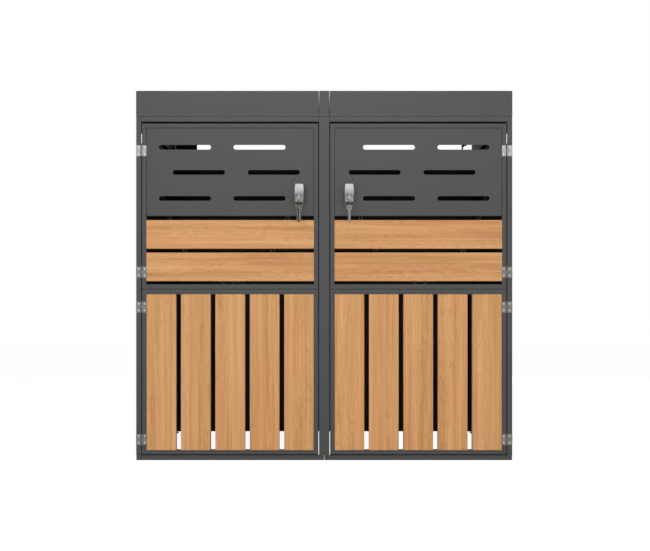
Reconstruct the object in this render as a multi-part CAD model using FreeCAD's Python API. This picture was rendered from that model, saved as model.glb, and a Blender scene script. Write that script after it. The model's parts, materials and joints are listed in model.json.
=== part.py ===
import FreeCAD, Part
import math
import os

# A double wheelie bin store, in millimetres. +X is to the right, -Y is the front and the ground is Z = 0.
# The right half is drawn, and most of the left half is its mirror image.

V = FreeCAD.Vector
ACROSS = V(1, 0, 0)
BACK = V(0, 1, 0)
UP = V(0, 0, 1)

# Flats that stand for round forms
END_FLATS = 5
KNUCKLE_FLATS = 8
BOSS_FLATS = 10
DISC_FLATS = 16
WIRE_FLATS = 4
BELLY_FLATS = 7
RING_FLATS = 6

# Whole store
WIDTH = 1320.0
HEIGHT = 1296.0
DEPTH = 820.0
KEY_REACH = 61.0
HALF = WIDTH / 2
FRONT = (KEY_REACH - DEPTH) / 2
REAR = FRONT + DEPTH
SHEET = 1.5

# Carcass: angle posts and rails behind folded panels
ANGLE_WALL = 2.5
POST_FACE = 18.0
POST_DEPTH = 32.0
POST_TOP = 1203.0
SILL_HEIGHT = 17.0
RAIL_HEIGHT = 17.0
CENTRE_GAP = 0.6
CENTRE_FACE = 16.5
COVER_HALF = 18.25
COVER_RETURN = 14.0
PANEL_BOTTOM = 17.05
PANEL_TOP = 1205.0
FOLD = 2.5
SEAL_THICK = 0.7
HAND_HOLE = (100.0, 1147.0, 120.0, 36.0)
BOLT_HEIGHTS = (300.0, 950.0)
BOLT_RADIUS = 4.0
TOP_RAIL_BOTTOM = 1187.5
TOP_RAIL_TOP = 1228.0
STOP_LIP_BOTTOM = 1168.0

# Roof: two lids and a strip over the joint between the modules
LID_INNER = 19.0
LID_BOTTOM = 1205.8
LID_ROUND = 3.0
STRIP_HALF = 17.75
REAR_LIP = 8.0
SKIRT_NOTCH = (36.0, 1234.0)
STIFFENER_BOTTOM = 1234.0
STIFFENER_BACK = (10.0, 66.0)
BUFFER_PLACES = (120.0, 540.0)

# Lid hinges
LID_PIN_BACK = 14.0
LID_PIN_HEIGHT = 1276.0
LID_PIN_RADIUS = 4.0
LID_HINGE_PLACES = (43.0, 612.0)

# Doors
DOOR_INNER = 20.7
DOOR_OUTER = 639.7
DOOR_BOTTOM = 19.7
DOOR_TOP = 1180.9
DOOR_DEPTH = 25.0
TUBE = 15.5
MID_RAIL = 17.2
MID_GAP = 0.6
MID_HEIGHT = 599.5
SHEET_BOTTOM = 856.7
SHEET_SET_BACK = 2.0
SHEET_RETURN = 12.0
SLOT_LENGTH = 182.6
SLOT_HEIGHT = 16.0
SLOT_ROWS = ((1098.4, 227.1, 488.8), (1010.7, 177.0, 439.7), (919.6, 227.1, 488.8))
BOARD_THICK = 18.0
BOARD_SET_BACK = 1.0
BOARD_EDGE = 1.5
FLAT_BOARD_HEIGHT = 100.9
FLAT_BOARD_BOTTOMS = (627.8, 741.8)
UPRIGHT_BOARDS = 5
UPRIGHT_WIDTH = 104.5
CLEAT = (76.0, 30.0, 3.0)

# Door hinges
HINGE_AXIS = 641.4
HINGE_FORWARD = 3.5
HINGE_HEIGHTS = (72.5, 536.5, 658.8, 1084.6)
HINGE_TALL = 39.0
LEAF_REACH = 18.5
LEAF_THICK = 1.5
KNUCKLE_RADIUS = 2.9
PIN_RADIUS = 1.5
RUNNING = 0.05
GAP = 0.3

# Lock handle, cam, key and key ring
HANDLE_X = 87.0
HANDLE_Z = 923.0
BAR_BOTTOM = 900.0
BAR_TOP = 965.5
BAR_WIDE = 34.5
BAR_END = 29.5
BAR_EDGE = 2.0
BAR_BACK = 20.0
BAR_FRONT = 34.0
NECK_RADIUS = 11.0
SPINDLE_RADIUS = 5.0
SPINDLE_ROUND = 9.0
SPINDLE_SQUARE = 3.5
ROSETTE_RADIUS = 17.0
CAM_LENGTH = 81.0
CAM_WIDE = 20.0
CAM_BEHIND = 26.3
CAM_THICK = 3.0
KEY_Z = 915.0
PLUG_RADIUS = 7.5
BOW_RADIUS = 12.0
KEY_THICK = 2.2
RING_RADIUS = 14.1
RING_WIRE = 0.9
SPARE_LENGTH = 52.5
SPARE_TWIST = 40.0

# Chains, one under each lid
CHAIN_BACK = 48.0
CHAIN_CENTRE = 340.0
CHAIN_HALF_SPAN = 298.0
CHAIN_LOW = 621.0
CHAIN_HIGH = 1215.5
LINKS = 43
LINK_WIRE = 1.5
LINK_INSIDE = 6.6
LINK_PLAY = 2.6
LINK_TAPER = 2.6
EYE_RADIUS = 7.0
EYE_WIRE = 1.2


def box(x, y, z):
    """A block between two limits on each axis."""
    return Part.makeBox(x[1] - x[0], y[1] - y[0], z[1] - z[0], V(x[0], y[0], z[0]))


def prism(points, run):
    """A closed outline carried along a straight run."""
    corners = [V(*point) for point in points]
    return Part.Face(Part.makePolygon(corners + corners[:1])).extrude(run)


def rod(radius, start, run):
    """A round bar from a point along a run."""
    return Part.makeCylinder(radius, run.Length, start, run)


def unite(shapes):
    """Several touching shapes as one solid."""
    return shapes[0].fuse(shapes[1:]).removeSplitter()


def mirror(shape):
    """The same piece on the other side of the store."""
    return shape.mirror(V(0, 0, 0), ACROSS)


def flat_sided(sides, radius, start, run, first, second):
    """A bar with flat sides that stand at a radius from its centre line."""
    return prism(round_path(start, radius, sides, first, second), run)


def edges_at(shape, test):
    """The edges whose every end passes a test."""
    return [edge for edge in shape.Edges if all(test(vertex.Point) for vertex in edge.Vertexes)]


def obround(centre, along, over, length, height, run):
    """A slot whose ends are rounded in short flats, carried along a run."""
    radius = height / 2
    middle = along * (length / 2 - radius)
    outline = []
    for end, turn in ((centre + middle, 0), (centre - middle, math.pi)):
        for step in range(END_FLATS + 1):
            angle = turn + math.pi * (step / END_FLATS - 0.5)
            outline.append(end + along * (radius * math.cos(angle)) + over * (radius * math.sin(angle)))
    return prism(outline, run)


def unit(vector):
    """A direction of length one."""
    return vector * (1 / vector.Length)


def bar_loop(points, normal, radius, sides):
    """A closed loop of flat-sided bar round a flat line of points, mitred where it turns."""
    reach = radius / math.cos(math.pi / sides)
    rings = []
    for before, here, after in zip(points[-1:] + points[:-1], points, points[1:] + points[:1]):
        out_before = unit(here - before).cross(normal)
        out_after = unit(after - here).cross(normal)
        out = unit(out_before + out_after)
        out = out * (1 / out.dot(out_after))
        turns = [2 * math.pi * (side + 0.5) / sides for side in range(sides)]
        rings.append([here + out * (reach * math.cos(a)) + normal * (reach * math.sin(a)) for a in turns])
    faces = []
    for ring, following in zip(rings, rings[1:] + rings[:1]):
        for side in range(sides):
            other = (side + 1) % sides
            corners = [ring[side], ring[other], following[other], following[side]]
            faces.append(Part.Face(Part.makePolygon(corners + corners[:1])))
    skin = Part.makeShell(faces)
    skin.sewShape()
    solid = Part.makeSolid(skin)
    return solid if solid.Volume > 0 else solid.reversed()


def round_path(centre, radius, count, first, second):
    """Corners of a many-sided ring whose flats are square to its two directions."""
    reach = radius / math.cos(math.pi / count)
    angles = [2 * math.pi * (step + 0.5) / count for step in range(count)]
    return [centre + first * (reach * math.cos(a)) + second * (reach * math.sin(a)) for a in angles]


def save(name, *solids):
    """One node as its own file."""
    shape = solids[0] if len(solids) == 1 else Part.makeCompound(list(solids))
    shape.exportStep(os.path.join("parts", name + ".step"))


def save_pair(name, *solids):
    """A node on the right and its mirror image on the left."""
    save("right_" + name, *solids)
    save("left_" + name, *[mirror(solid) for solid in solids])


def angle_frame(web, toe):
    """Four lengths of angle round a side: their webs stand at one X and their toes reach to another."""
    wall = ANGLE_WALL if toe > web else -ANGLE_WALL
    near = FRONT + SHEET
    far = REAR - SHEET
    posts = []
    for face, inward in ((near, 1), (far, -1)):
        inner = face + inward * ANGLE_WALL
        deep = face + inward * (POST_DEPTH - SHEET)
        outline = [(web, face, 0), (toe, face, 0), (toe, inner, 0), (web + wall, inner, 0),
                   (web + wall, deep, 0), (web, deep, 0)]
        posts.append(prism(outline, UP * POST_TOP))
    start = FRONT + POST_DEPTH
    run = BACK * (REAR - POST_DEPTH - start)
    rails = []
    for outer, inward in ((0.0, 1), (POST_TOP, -1)):
        inner = outer + inward * ANGLE_WALL
        deep = outer + inward * RAIL_HEIGHT
        outline = [(web, start, outer), (toe, start, outer), (toe, start, inner), (web + wall, start, inner),
                   (web + wall, start, deep), (web, start, deep)]
        rails.append(prism(outline, run))
    return posts + rails


def module_bolt_places():
    """Centres of the bolts through the two centre frames."""
    backs = (FRONT + 22.0, REAR - 22.0)
    return [(back, height) for back in backs for height in BOLT_HEIGHTS]


def frames():
    """Outer and centre frame of a module, the centre posts drilled for the module bolts."""
    outer = angle_frame(HALF - SHEET, HALF - POST_FACE)
    near_post, far_post, low_rail, top_rail = angle_frame(CENTRE_GAP, CENTRE_FACE)
    behind = FRONT + COVER_RETURN + 1
    ledge = box((CENTRE_FACE, COVER_HALF), (behind, REAR - 6), (POST_TOP - ANGLE_WALL, POST_TOP))
    top_rail = unite([top_rail, ledge])
    for back, height in module_bolt_places():
        hole = flat_sided(RING_FLATS, BOLT_RADIUS + GAP, V(0, back, height), ACROSS * 10, BACK, UP)
        near_post = near_post.cut(hole)
        far_post = far_post.cut(hole)
    save_pair("side_frame", *outer)
    save_pair("centre_frame", near_post, far_post, low_rail, top_rail)


def module_bolts():
    """Hexagon bolts with their nuts, each clamping the two centre frames."""
    grip = CENTRE_GAP + ANGLE_WALL
    head = 5.5
    bolts = []
    for back, height in module_bolt_places():
        shank = flat_sided(RING_FLATS, BOLT_RADIUS, V(-grip, back, height), ACROSS * (2 * grip), BACK, UP)
        ends = [flat_sided(6, 6.5, V(side, back, height), ACROSS * head, BACK, UP) for side in (-grip - head, grip)]
        bolts.append(unite([shank] + ends))
    save("module_bolts", *bolts)


def side_panel():
    """Sheets round the side frame: folded edge strips, and a side sheet in four parts round its hand hole."""
    tall = (PANEL_BOTTOM, PANEL_TOP)
    strips = []
    for face, inward in ((FRONT, 1), (REAR, -1)):
        inner = face + inward * SHEET
        deep = face + inward * POST_DEPTH
        outline = [(HALF - POST_FACE, face), (HALF, face), (HALF, deep), (HALF - SHEET, deep),
                   (HALF - SHEET, inner), (HALF - POST_FACE, inner)]
        strip = prism([(x, y, tall[0]) for x, y in outline], UP * (tall[1] - tall[0]))
        corner = edges_at(strip, lambda p: p.x > HALF - 0.1 and abs(p.y - face) < 0.1)
        strips.append(strip.makeFillet(FOLD, corner))
    back, height, length, high = HAND_HOLE
    hole = obround(V(HALF - 10, FRONT + back, height), BACK, UP, length, high, ACROSS * 20)
    near = FRONT + POST_DEPTH
    far = REAR - POST_DEPTH
    under = height - high / 2
    over = height + high / 2
    middle = FRONT + back
    parts = [box((HALF - SHEET, HALF), deep, upwards).cut(hole) for deep, upwards in
             (((near, far), (tall[0], under)), ((near, far), (over, tall[1])),
              ((near, middle), (under, over)), ((middle, far), (under, over)))]
    save_pair("side_panel", *strips, *parts)


def rear_panel():
    """Flat rear sheet of a module, hemmed forward along its top."""
    across = (CENTRE_GAP, HALF - POST_FACE - 0.4)
    sheet = box(across, (REAR - SHEET, REAR), (PANEL_BOTTOM, TOP_RAIL_TOP + SHEET))
    hem = box(across, (REAR - 12, REAR), (TOP_RAIL_TOP, TOP_RAIL_TOP + SHEET))
    corner = box((0, LID_INNER + 3), (REAR - 20, REAR + 1), (POST_TOP - GAP, HEIGHT))
    save_pair("rear_panel", unite([sheet, hem]).cut(corner))


def sills():
    """Front and rear sill of a module: a face across the posts and a flange between them."""
    pieces = []
    for face, inward in ((FRONT, 1), (REAR, -1)):
        plate = sorted((face, face + inward * SHEET))
        flange = sorted((face, face + inward * 26))
        front = box((CENTRE_GAP, HALF - 1), plate, (0, SILL_HEIGHT))
        top = box((COVER_HALF + 1, HALF - POST_FACE - 1), flange, (SILL_HEIGHT - SHEET, SILL_HEIGHT))
        pieces.append(unite([front, top]))
    save_pair("sills", *pieces)


def front_top_rail():
    """Folded rail over a door: a stop lip behind the door, a face, and an upstand under the lid."""
    lip = FRONT + DOOR_DEPTH + 1
    step = FRONT + 4
    shelf = FRONT + 34
    across = (COVER_HALF + 0.4, HALF - POST_FACE - 0.4)
    low = [(FRONT, TOP_RAIL_BOTTOM), (FRONT, PANEL_TOP), (step + SHEET, PANEL_TOP),
           (step + SHEET, PANEL_TOP - SHEET), (FRONT + SHEET, PANEL_TOP - SHEET),
           (FRONT + SHEET, TOP_RAIL_BOTTOM + SHEET), (lip + SHEET, TOP_RAIL_BOTTOM + SHEET),
           (lip + SHEET, STOP_LIP_BOTTOM), (lip, STOP_LIP_BOTTOM), (lip, TOP_RAIL_BOTTOM)]
    high = [(step, PANEL_TOP - SHEET), (step, TOP_RAIL_TOP), (shelf, TOP_RAIL_TOP),
            (shelf, TOP_RAIL_TOP - SHEET), (step + SHEET, TOP_RAIL_TOP - SHEET),
            (step + SHEET, PANEL_TOP - SHEET)]
    face = prism([(across[0], y, z) for y, z in low], ACROSS * (across[1] - across[0]))
    upstand = prism([(LID_INNER + 4, y, z) for y, z in high], ACROSS * (across[1] - LID_INNER - 4))
    save_pair("front_top_rail", unite([face, upstand]))


def door_seals():
    """Rubber strips glued to the stop lips behind the doors."""
    lip = FRONT + DOOR_DEPTH + 1
    seal = box((DOOR_INNER, DOOR_OUTER), (lip - SEAL_THICK, lip), (STOP_LIP_BOTTOM, TOP_RAIL_BOTTOM))
    save("door_seals", seal, mirror(seal))


def rear_top_rail():
    """Angle along the top of the rear panel that carries the lid hinges."""
    top = TOP_RAIL_TOP
    outline = [(REAR - SHEET, top), (REAR - 32, top), (REAR - 32, top - ANGLE_WALL),
               (REAR - SHEET - ANGLE_WALL, top - ANGLE_WALL), (REAR - SHEET - ANGLE_WALL, POST_TOP + 0.5),
               (REAR - SHEET, POST_TOP + 0.5)]
    across = (LID_INNER + 3, HALF - POST_FACE - 0.4)
    rail = prism([(across[0], y, z) for y, z in outline], ACROSS * (across[1] - across[0]))
    save_pair("rear_top_rail", rail)


def centre_post_cover():
    """Folded strip over the fronts of the two centre posts."""
    deep = FRONT + COVER_RETURN
    half = COVER_HALF
    inner = half - SHEET
    outline = [(-half, deep), (-half, FRONT), (half, FRONT), (half, deep), (inner, deep),
               (inner, FRONT + SHEET), (-inner, FRONT + SHEET), (-inner, deep)]
    save("centre_post_cover", prism([(x, y, SILL_HEIGHT) for x, y in outline], UP * (PANEL_TOP - SILL_HEIGHT)))


def roof_strip():
    """Upturned channel over the joint between the lids, closed at the front."""
    outer = box((-STRIP_HALF, STRIP_HALF), (FRONT, REAR), (POST_TOP, HEIGHT))
    outer = outer.makeFillet(LID_ROUND / 2, edges_at(outer, lambda p: p.y < FRONT + 0.1 and p.z > HEIGHT - 0.1))
    inner = STRIP_HALF - SHEET
    hollow = box((-inner, inner), (FRONT + SHEET, REAR + 1), (POST_TOP - 1, HEIGHT - SHEET))
    toe = box((-HALF, HALF), (FRONT - 1, FRONT + COVER_RETURN + 1), (POST_TOP - 1, LID_BOTTOM))
    save("roof_centre_strip", outer.cut(hollow).cut(toe))


def lid():
    """Folded lid with a front skirt, two side skirts and a small rear lip."""
    outer = box((LID_INNER, HALF), (FRONT, REAR), (LID_BOTTOM, HEIGHT))
    front = edges_at(outer, lambda p: p.y < FRONT + 0.1 and p.z > HEIGHT - 0.1)
    sides = edges_at(outer, lambda p: p.z > HEIGHT - 0.1 and (p.x < LID_INNER + 0.1 or p.x > HALF - 0.1))
    folds = {edge.hashCode(): edge for edge in front + sides}
    outer = outer.makeFillet(LID_ROUND, [edge for edge in folds.values()])
    hollow = box((LID_INNER + SHEET, HALF - SHEET), (FRONT + SHEET, REAR + 1), (LID_BOTTOM - 1, HEIGHT - SHEET))
    notch = box((0, WIDTH), (REAR - SKIRT_NOTCH[0], REAR + 1), (LID_BOTTOM - 1, SKIRT_NOTCH[1]))
    lip = box((LID_INNER + SHEET, HALF - SHEET), (REAR - SHEET, REAR), (HEIGHT - REAR_LIP, HEIGHT - SHEET))
    save_pair("lid", unite([outer.cut(hollow).cut(notch), lip]))


def lid_stiffener():
    """Channel under the front of a lid, which lands on the buffers and carries the chain eyes."""
    near = FRONT + STIFFENER_BACK[0]
    far = FRONT + STIFFENER_BACK[1]
    low = STIFFENER_BOTTOM
    top = HEIGHT - SHEET
    outline = [(near, top), (near, low), (far, low), (far, top), (far - SHEET, top),
               (far - SHEET, low + SHEET), (near + SHEET, low + SHEET), (near + SHEET, top)]
    start = LID_INNER + SHEET + 3
    run = HALF - SHEET - 3 - start
    save_pair("lid_stiffener", prism([(start, y, z) for y, z in outline], ACROSS * run))


def lid_buffers():
    """Rubber buffers on the front top rails, just under the lid stiffeners."""
    tall = STIFFENER_BOTTOM - GAP - TOP_RAIL_TOP
    pads = [flat_sided(BOSS_FLATS, 8.0, V(x, FRONT + 22, TOP_RAIL_TOP), UP * tall, ACROSS, BACK)
            for x in BUFFER_PLACES]
    save("lid_buffers", *pads, *[mirror(pad) for pad in pads])


def lid_hinges():
    """Brackets with fixed pins on the rear top rails, and the ears under the lids that turn on them."""
    axis_back = REAR - LID_PIN_BACK
    brackets = []
    ears = []
    for start in LID_HINGE_PLACES:
        plate = box((start, start + 4), (axis_back - 12, axis_back + 5), (TOP_RAIL_TOP + SHEET, LID_PIN_HEIGHT))
        boss = flat_sided(BOSS_FLATS, 7.0, V(start, axis_back, LID_PIN_HEIGHT), ACROSS * 4, BACK, UP)
        foot = box((start, start + 26), (axis_back - 16, axis_back + 1), (TOP_RAIL_TOP, TOP_RAIL_TOP + 3))
        pin = rod(LID_PIN_RADIUS, V(start, axis_back, LID_PIN_HEIGHT), ACROSS * 22)
        brackets.append(unite([plate, boss, foot, pin]))
        ear_start = start + 6
        flange = box((ear_start, ear_start + 22), (axis_back - 46, axis_back + 8),
                     (HEIGHT - SHEET - 3, HEIGHT - SHEET))
        web = box((ear_start, ear_start + 6), (axis_back - 9, axis_back + 9),
                  (LID_PIN_HEIGHT, HEIGHT - SHEET - 3))
        eye = flat_sided(BOSS_FLATS, 9.0, V(ear_start, axis_back, LID_PIN_HEIGHT), ACROSS * 6, BACK, UP)
        bore = flat_sided(BOSS_FLATS, LID_PIN_RADIUS + RUNNING, V(ear_start - 1, axis_back, LID_PIN_HEIGHT),
                          ACROSS * 8, BACK, UP)
        ears.append(unite([flange, web, eye]).cut(bore))
    save("lid_hinge_brackets", *brackets, *[mirror(bracket) for bracket in brackets])
    save_pair("lid_hinge_ears", *ears)


def door_frames():
    """Upper and lower frame of a door, each welded from flat tube."""
    across = (DOOR_INNER, DOOR_OUTER)
    inside = (DOOR_INNER + TUBE, DOOR_OUTER - TUBE)
    through = (FRONT - 1, FRONT + DOOR_DEPTH + 1)
    deep = (FRONT, FRONT + DOOR_DEPTH)
    split = MID_GAP / 2
    upper = box(across, deep, (MID_HEIGHT + split, DOOR_TOP))
    upper = upper.cut(box(inside, through, (MID_HEIGHT + split + MID_RAIL, DOOR_TOP - TUBE)))
    lower = box(across, deep, (DOOR_BOTTOM, MID_HEIGHT - split))
    lower = lower.cut(box(inside, through, (DOOR_BOTTOM + TUBE, MID_HEIGHT - split - MID_RAIL)))
    save_pair("upper_door_frame", upper)
    save_pair("lower_door_frame", lower)


def slotted_sheet():
    """Tray of sheet steel in the top of a door, with rows of ventilation slots and a hole for the spindle."""
    across = (DOOR_INNER + TUBE, DOOR_OUTER - TUBE)
    face = FRONT + SHEET_SET_BACK
    tall = (SHEET_BOTTOM, DOOR_TOP - TUBE)
    sheet = box(across, (face, face + SHEET_RETURN), tall)
    sheet = sheet.makeFillet(SHEET, edges_at(sheet, lambda p: p.y < face + 0.1 and p.z < SHEET_BOTTOM + 0.1))
    hollow = box((across[0] + SHEET, across[1] - SHEET), (face + SHEET, face + SHEET_RETURN + 1),
                 (tall[0] + SHEET, tall[1] - SHEET))
    sheet = sheet.cut(hollow)
    for height, first, second in SLOT_ROWS:
        for middle in (first, second):
            start = V(middle, face - 1, height)
            sheet = sheet.cut(obround(start, ACROSS, UP, SLOT_LENGTH, SLOT_HEIGHT, BACK * (SHEET + 2)))
    hole = flat_sided(BOSS_FLATS, SPINDLE_RADIUS + RUNNING, V(HANDLE_X, face - 1, HANDLE_Z),
                      BACK * (SHEET + 2), ACROSS, UP)
    save_pair("slotted_sheet", sheet.cut(hole))


def board(across, tall, upright):
    """A planed board with its long front edges eased."""
    face = FRONT + BOARD_SET_BACK
    plank = box(across, (face, face + BOARD_THICK), tall)
    size = 2 if upright else 0
    long_edges = [edge for edge in edges_at(plank, lambda p: p.y < face + 0.1)
                  if abs(edge.Vertexes[0].Point[size] - edge.Vertexes[1].Point[size]) > 1]
    return plank.makeChamfer(BOARD_EDGE, long_edges)


def boards():
    """Two flat boards above the middle rail of a door and five upright ones below it."""
    left = DOOR_INNER + TUBE
    right = DOOR_OUTER - TUBE
    flat = [board((left, right), (low, low + FLAT_BOARD_HEIGHT), False) for low in FLAT_BOARD_BOTTOMS]
    step = (right - left - UPRIGHT_WIDTH) / (UPRIGHT_BOARDS - 1)
    tall = (DOOR_BOTTOM + TUBE, MID_HEIGHT - MID_GAP / 2 - MID_RAIL)
    starts = [left + step * count for count in range(UPRIGHT_BOARDS)]
    upright = [board((start, start + UPRIGHT_WIDTH), tall, True) for start in starts]
    save_pair("flat_boards", *flat)
    save_pair("upright_boards", *upright)
    save_pair("board_cleats", *cleats(left, right, starts, tall))


def cleats(left, right, starts, tall):
    """Steel tabs welded to the door frames, screwed to the backs of the board ends."""
    wide, deep, thick = CLEAT
    near = FRONT + BOARD_SET_BACK + BOARD_THICK
    behind = (near, near + thick)
    tabs = []
    for start in starts:
        margin = (UPRIGHT_WIDTH - wide) / 2
        across = (start + margin, start + margin + wide)
        tabs.append(box(across, behind, (tall[0], tall[0] + deep)))
        tabs.append(box(across, behind, (tall[1] - deep, tall[1])))
    for low in FLAT_BOARD_BOTTOMS:
        margin = (FLAT_BOARD_HEIGHT - wide) / 2
        upwards = (low + margin, low + margin + wide)
        tabs.append(box((left, left + deep), behind, upwards))
        tabs.append(box((right - deep, right), behind, upwards))
    return tabs


def leaf(middle, side, own, other):
    """One leaf of a butt hinge: a plate and the knuckles at its own heights."""
    axis = V(HINGE_AXIS, FRONT - HINGE_FORWARD, 0)
    low = middle - HINGE_TALL / 2
    high = middle + HINGE_TALL / 2
    near = HINGE_AXIS + side * 0.3
    far = HINGE_AXIS + side * LEAF_REACH
    plate = box(sorted((near, far)), (FRONT - LEAF_THICK, FRONT), (low, high))
    notch = sorted((near - side, HINGE_AXIS + side * (KNUCKLE_RADIUS + 2 * GAP)))
    for start, end in other:
        plate = plate.cut(box(notch, (FRONT - LEAF_THICK - 1, FRONT + 1), (low + start - GAP, low + end + GAP)))
    barrels = [flat_sided(KNUCKLE_FLATS, KNUCKLE_RADIUS, axis + UP * (low + start), UP * (end - start), ACROSS, BACK)
               for start, end in own]
    return unite([plate] + barrels)


def door_hinges():
    """Stainless butt hinges: the post leaf holds the pin, and the door leaf turns on it."""
    third = HINGE_TALL / 3
    outer = ((0.0, third), (2 * third, HINGE_TALL))
    inner = ((third + GAP, 2 * third - GAP),)
    post_leaves = []
    door_leaves = []
    for middle in HINGE_HEIGHTS:
        start = V(HINGE_AXIS, FRONT - HINGE_FORWARD, middle - HINGE_TALL / 2)
        pin = rod(PIN_RADIUS, start, UP * HINGE_TALL)
        bore = flat_sided(KNUCKLE_FLATS, PIN_RADIUS + RUNNING, start, UP * HINGE_TALL, ACROSS, BACK)
        post_leaves.append(unite([leaf(middle, 1, outer, inner), pin]))
        door_leaves.append(leaf(middle, -1, inner, outer).cut(bore))
    save("post_hinge_leaves", *post_leaves, *[mirror(piece) for piece in post_leaves])
    save_pair("door_hinge_leaves", *door_leaves)


def handle():
    """Turning handle: a bellied bar on a neck, with a bore for the lock plug and a spindle through the door."""
    face = FRONT - BAR_FRONT
    centre = V(HANDLE_X, face, (BAR_TOP + BAR_BOTTOM) / 2)
    outline = []
    for side in (1, -1):
        for step in range(BELLY_FLATS + 1):
            along = side * (2 * step / BELLY_FLATS - 1)
            belly = (BAR_END + (BAR_WIDE - BAR_END) * (1 - along ** 2)) / 2
            outline.append(centre + V(side * belly, 0, along * (BAR_TOP - BAR_BOTTOM) / 2))
    bar = prism(outline, BACK * (BAR_FRONT - BAR_BACK))
    bar = bar.makeChamfer(BAR_EDGE, edges_at(bar, lambda p: p.y < face + 0.1))
    neck = flat_sided(DISC_FLATS, NECK_RADIUS, V(HANDLE_X, FRONT - BAR_BACK, HANDLE_Z),
                      BACK * (BAR_BACK - 1 - GAP), ACROSS, UP)
    round_part = rod(SPINDLE_RADIUS, V(HANDLE_X, FRONT - 2, HANDLE_Z), BACK * SPINDLE_ROUND)
    square_part = flat_sided(4, SPINDLE_SQUARE, V(HANDLE_X, FRONT - 2 + SPINDLE_ROUND, HANDLE_Z),
                             BACK * (CAM_BEHIND + CAM_THICK + 2 - SPINDLE_ROUND), ACROSS, UP)
    spindle = unite([round_part, square_part])
    bore = flat_sided(DISC_FLATS, PLUG_RADIUS + RUNNING, V(HANDLE_X, face - 1, KEY_Z),
                      BACK * (BAR_FRONT - BAR_BACK), ACROSS, UP)
    save_pair("handle", unite([bar, neck, spindle]).cut(bore))
    face_ring = flat_sided(DISC_FLATS, ROSETTE_RADIUS, V(HANDLE_X, FRONT - 1, HANDLE_Z),
                           BACK * (SHEET_SET_BACK + 1), ACROSS, UP)
    hole = flat_sided(BOSS_FLATS, SPINDLE_RADIUS + RUNNING, V(HANDLE_X, FRONT - 2, HANDLE_Z),
                      BACK * 10, ACROSS, UP)
    save_pair("handle_rosette", face_ring.cut(hole))


def cam():
    """Long cam on the end of the spindle, hanging down while the door is unlatched."""
    near = FRONT + CAM_BEHIND
    thick = BACK * CAM_THICK
    middle = V(HANDLE_X, near, HANDLE_Z - CAM_LENGTH / 2 + CAM_WIDE / 4)
    tongue = obround(middle, UP, ACROSS, CAM_LENGTH + CAM_WIDE / 2, CAM_WIDE, thick)
    tongue = tongue.cut(flat_sided(4, SPINDLE_SQUARE, V(HANDLE_X, near - 1, HANDLE_Z), BACK * 10, ACROSS, UP))
    nut = flat_sided(6, 8.0, V(HANDLE_X, near + CAM_THICK, HANDLE_Z), BACK * 5, ACROSS, UP)
    save_pair("cam", unite([tongue, nut]))


def keepers():
    """Hat-shaped keepers behind the centre posts, which the turned cams bear on."""
    base = FRONT + SHEET + ANGLE_WALL
    crown = FRONT + CAM_BEHIND - GAP
    half = CAM_WIDE / 2 + 2
    foot = half + 12
    outline = [(base, -foot), (base + 2, -foot), (base + 2, -half), (crown, -half), (crown, half),
               (base + 2, half), (base + 2, foot), (base, foot), (base, half - 2), (crown - 2, half - 2),
               (crown - 2, 2 - half), (base, 2 - half)]
    start = CENTRE_GAP + ANGLE_WALL + 2
    hat = prism([(start, y, HANDLE_Z + z) for y, z in outline], ACROSS * (CENTRE_FACE - start))
    save("keepers", hat, mirror(hat))


def key_and_plug():
    """Lock plug in the handle's bore, and the key standing in it with its bow upright."""
    plug_face = FRONT - BAR_FRONT - 2
    plug = rod(PLUG_RADIUS, V(HANDLE_X, plug_face, KEY_Z), BACK * (BAR_FRONT - BAR_BACK + 0.8))
    half = KEY_THICK / 2
    keyway = box((HANDLE_X - half - 0.1, HANDLE_X + half + 0.1), (plug_face - 1, FRONT - BAR_BACK + 5),
                 (KEY_Z - 4.1, KEY_Z + 4.1))
    bow_middle = FRONT - KEY_REACH + BOW_RADIUS
    bow = flat_sided(DISC_FLATS, BOW_RADIUS, V(HANDLE_X - half, bow_middle, KEY_Z), ACROSS * KEY_THICK, BACK, UP)
    blade = box((HANDLE_X - half, HANDLE_X + half), (bow_middle, FRONT - BAR_BACK - 2), (KEY_Z - 4, KEY_Z + 4))
    hole_middle = V(HANDLE_X - 5, bow_middle - 3, KEY_Z)
    hole = obround(hole_middle, UP, BACK, 16.0, 6.0, ACROSS * 10)
    save_pair("lock_plug", plug.cut(keyway))
    save_pair("key", unite([bow, blade]).cut(hole))


def ring_top():
    """Centre of the key ring's wire where it hangs in the key's bow."""
    return V(HANDLE_X, FRONT - KEY_REACH + BOW_RADIUS - 3, KEY_Z - 8.0 + RING_WIRE + 2 * GAP)


def spare_key(offset):
    """A key hanging from the bottom of the ring, turned a little about the vertical."""
    hook = ring_top() - UP * (2 * RING_RADIUS - (offset ** 2) / (2 * RING_RADIUS))
    middle = hook + V(offset, 0, -3.5 + RING_WIRE + 1.8)
    half = KEY_THICK / 2
    bow = flat_sided(BOSS_FLATS, 9.0, middle - ACROSS * half - UP * 3.5, ACROSS * KEY_THICK, BACK, UP)
    low = middle.z - SPARE_LENGTH + 5
    blade = box((middle.x - half, middle.x + half), (middle.y - 3.5, middle.y + 3.5), (low, middle.z - 10))
    tip = prism([(middle.x - half, middle.y - 3.5, low), (middle.x - half, middle.y + 3.5, low),
                 (middle.x - half, middle.y, low - 3.5)], ACROSS * KEY_THICK)
    hole = flat_sided(KNUCKLE_FLATS, 3.5, middle - ACROSS * 5, ACROSS * 10, BACK, UP)
    key = unite([bow, blade, tip]).cut(hole)
    key.rotate(middle, UP, SPARE_TWIST)
    return key


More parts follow.
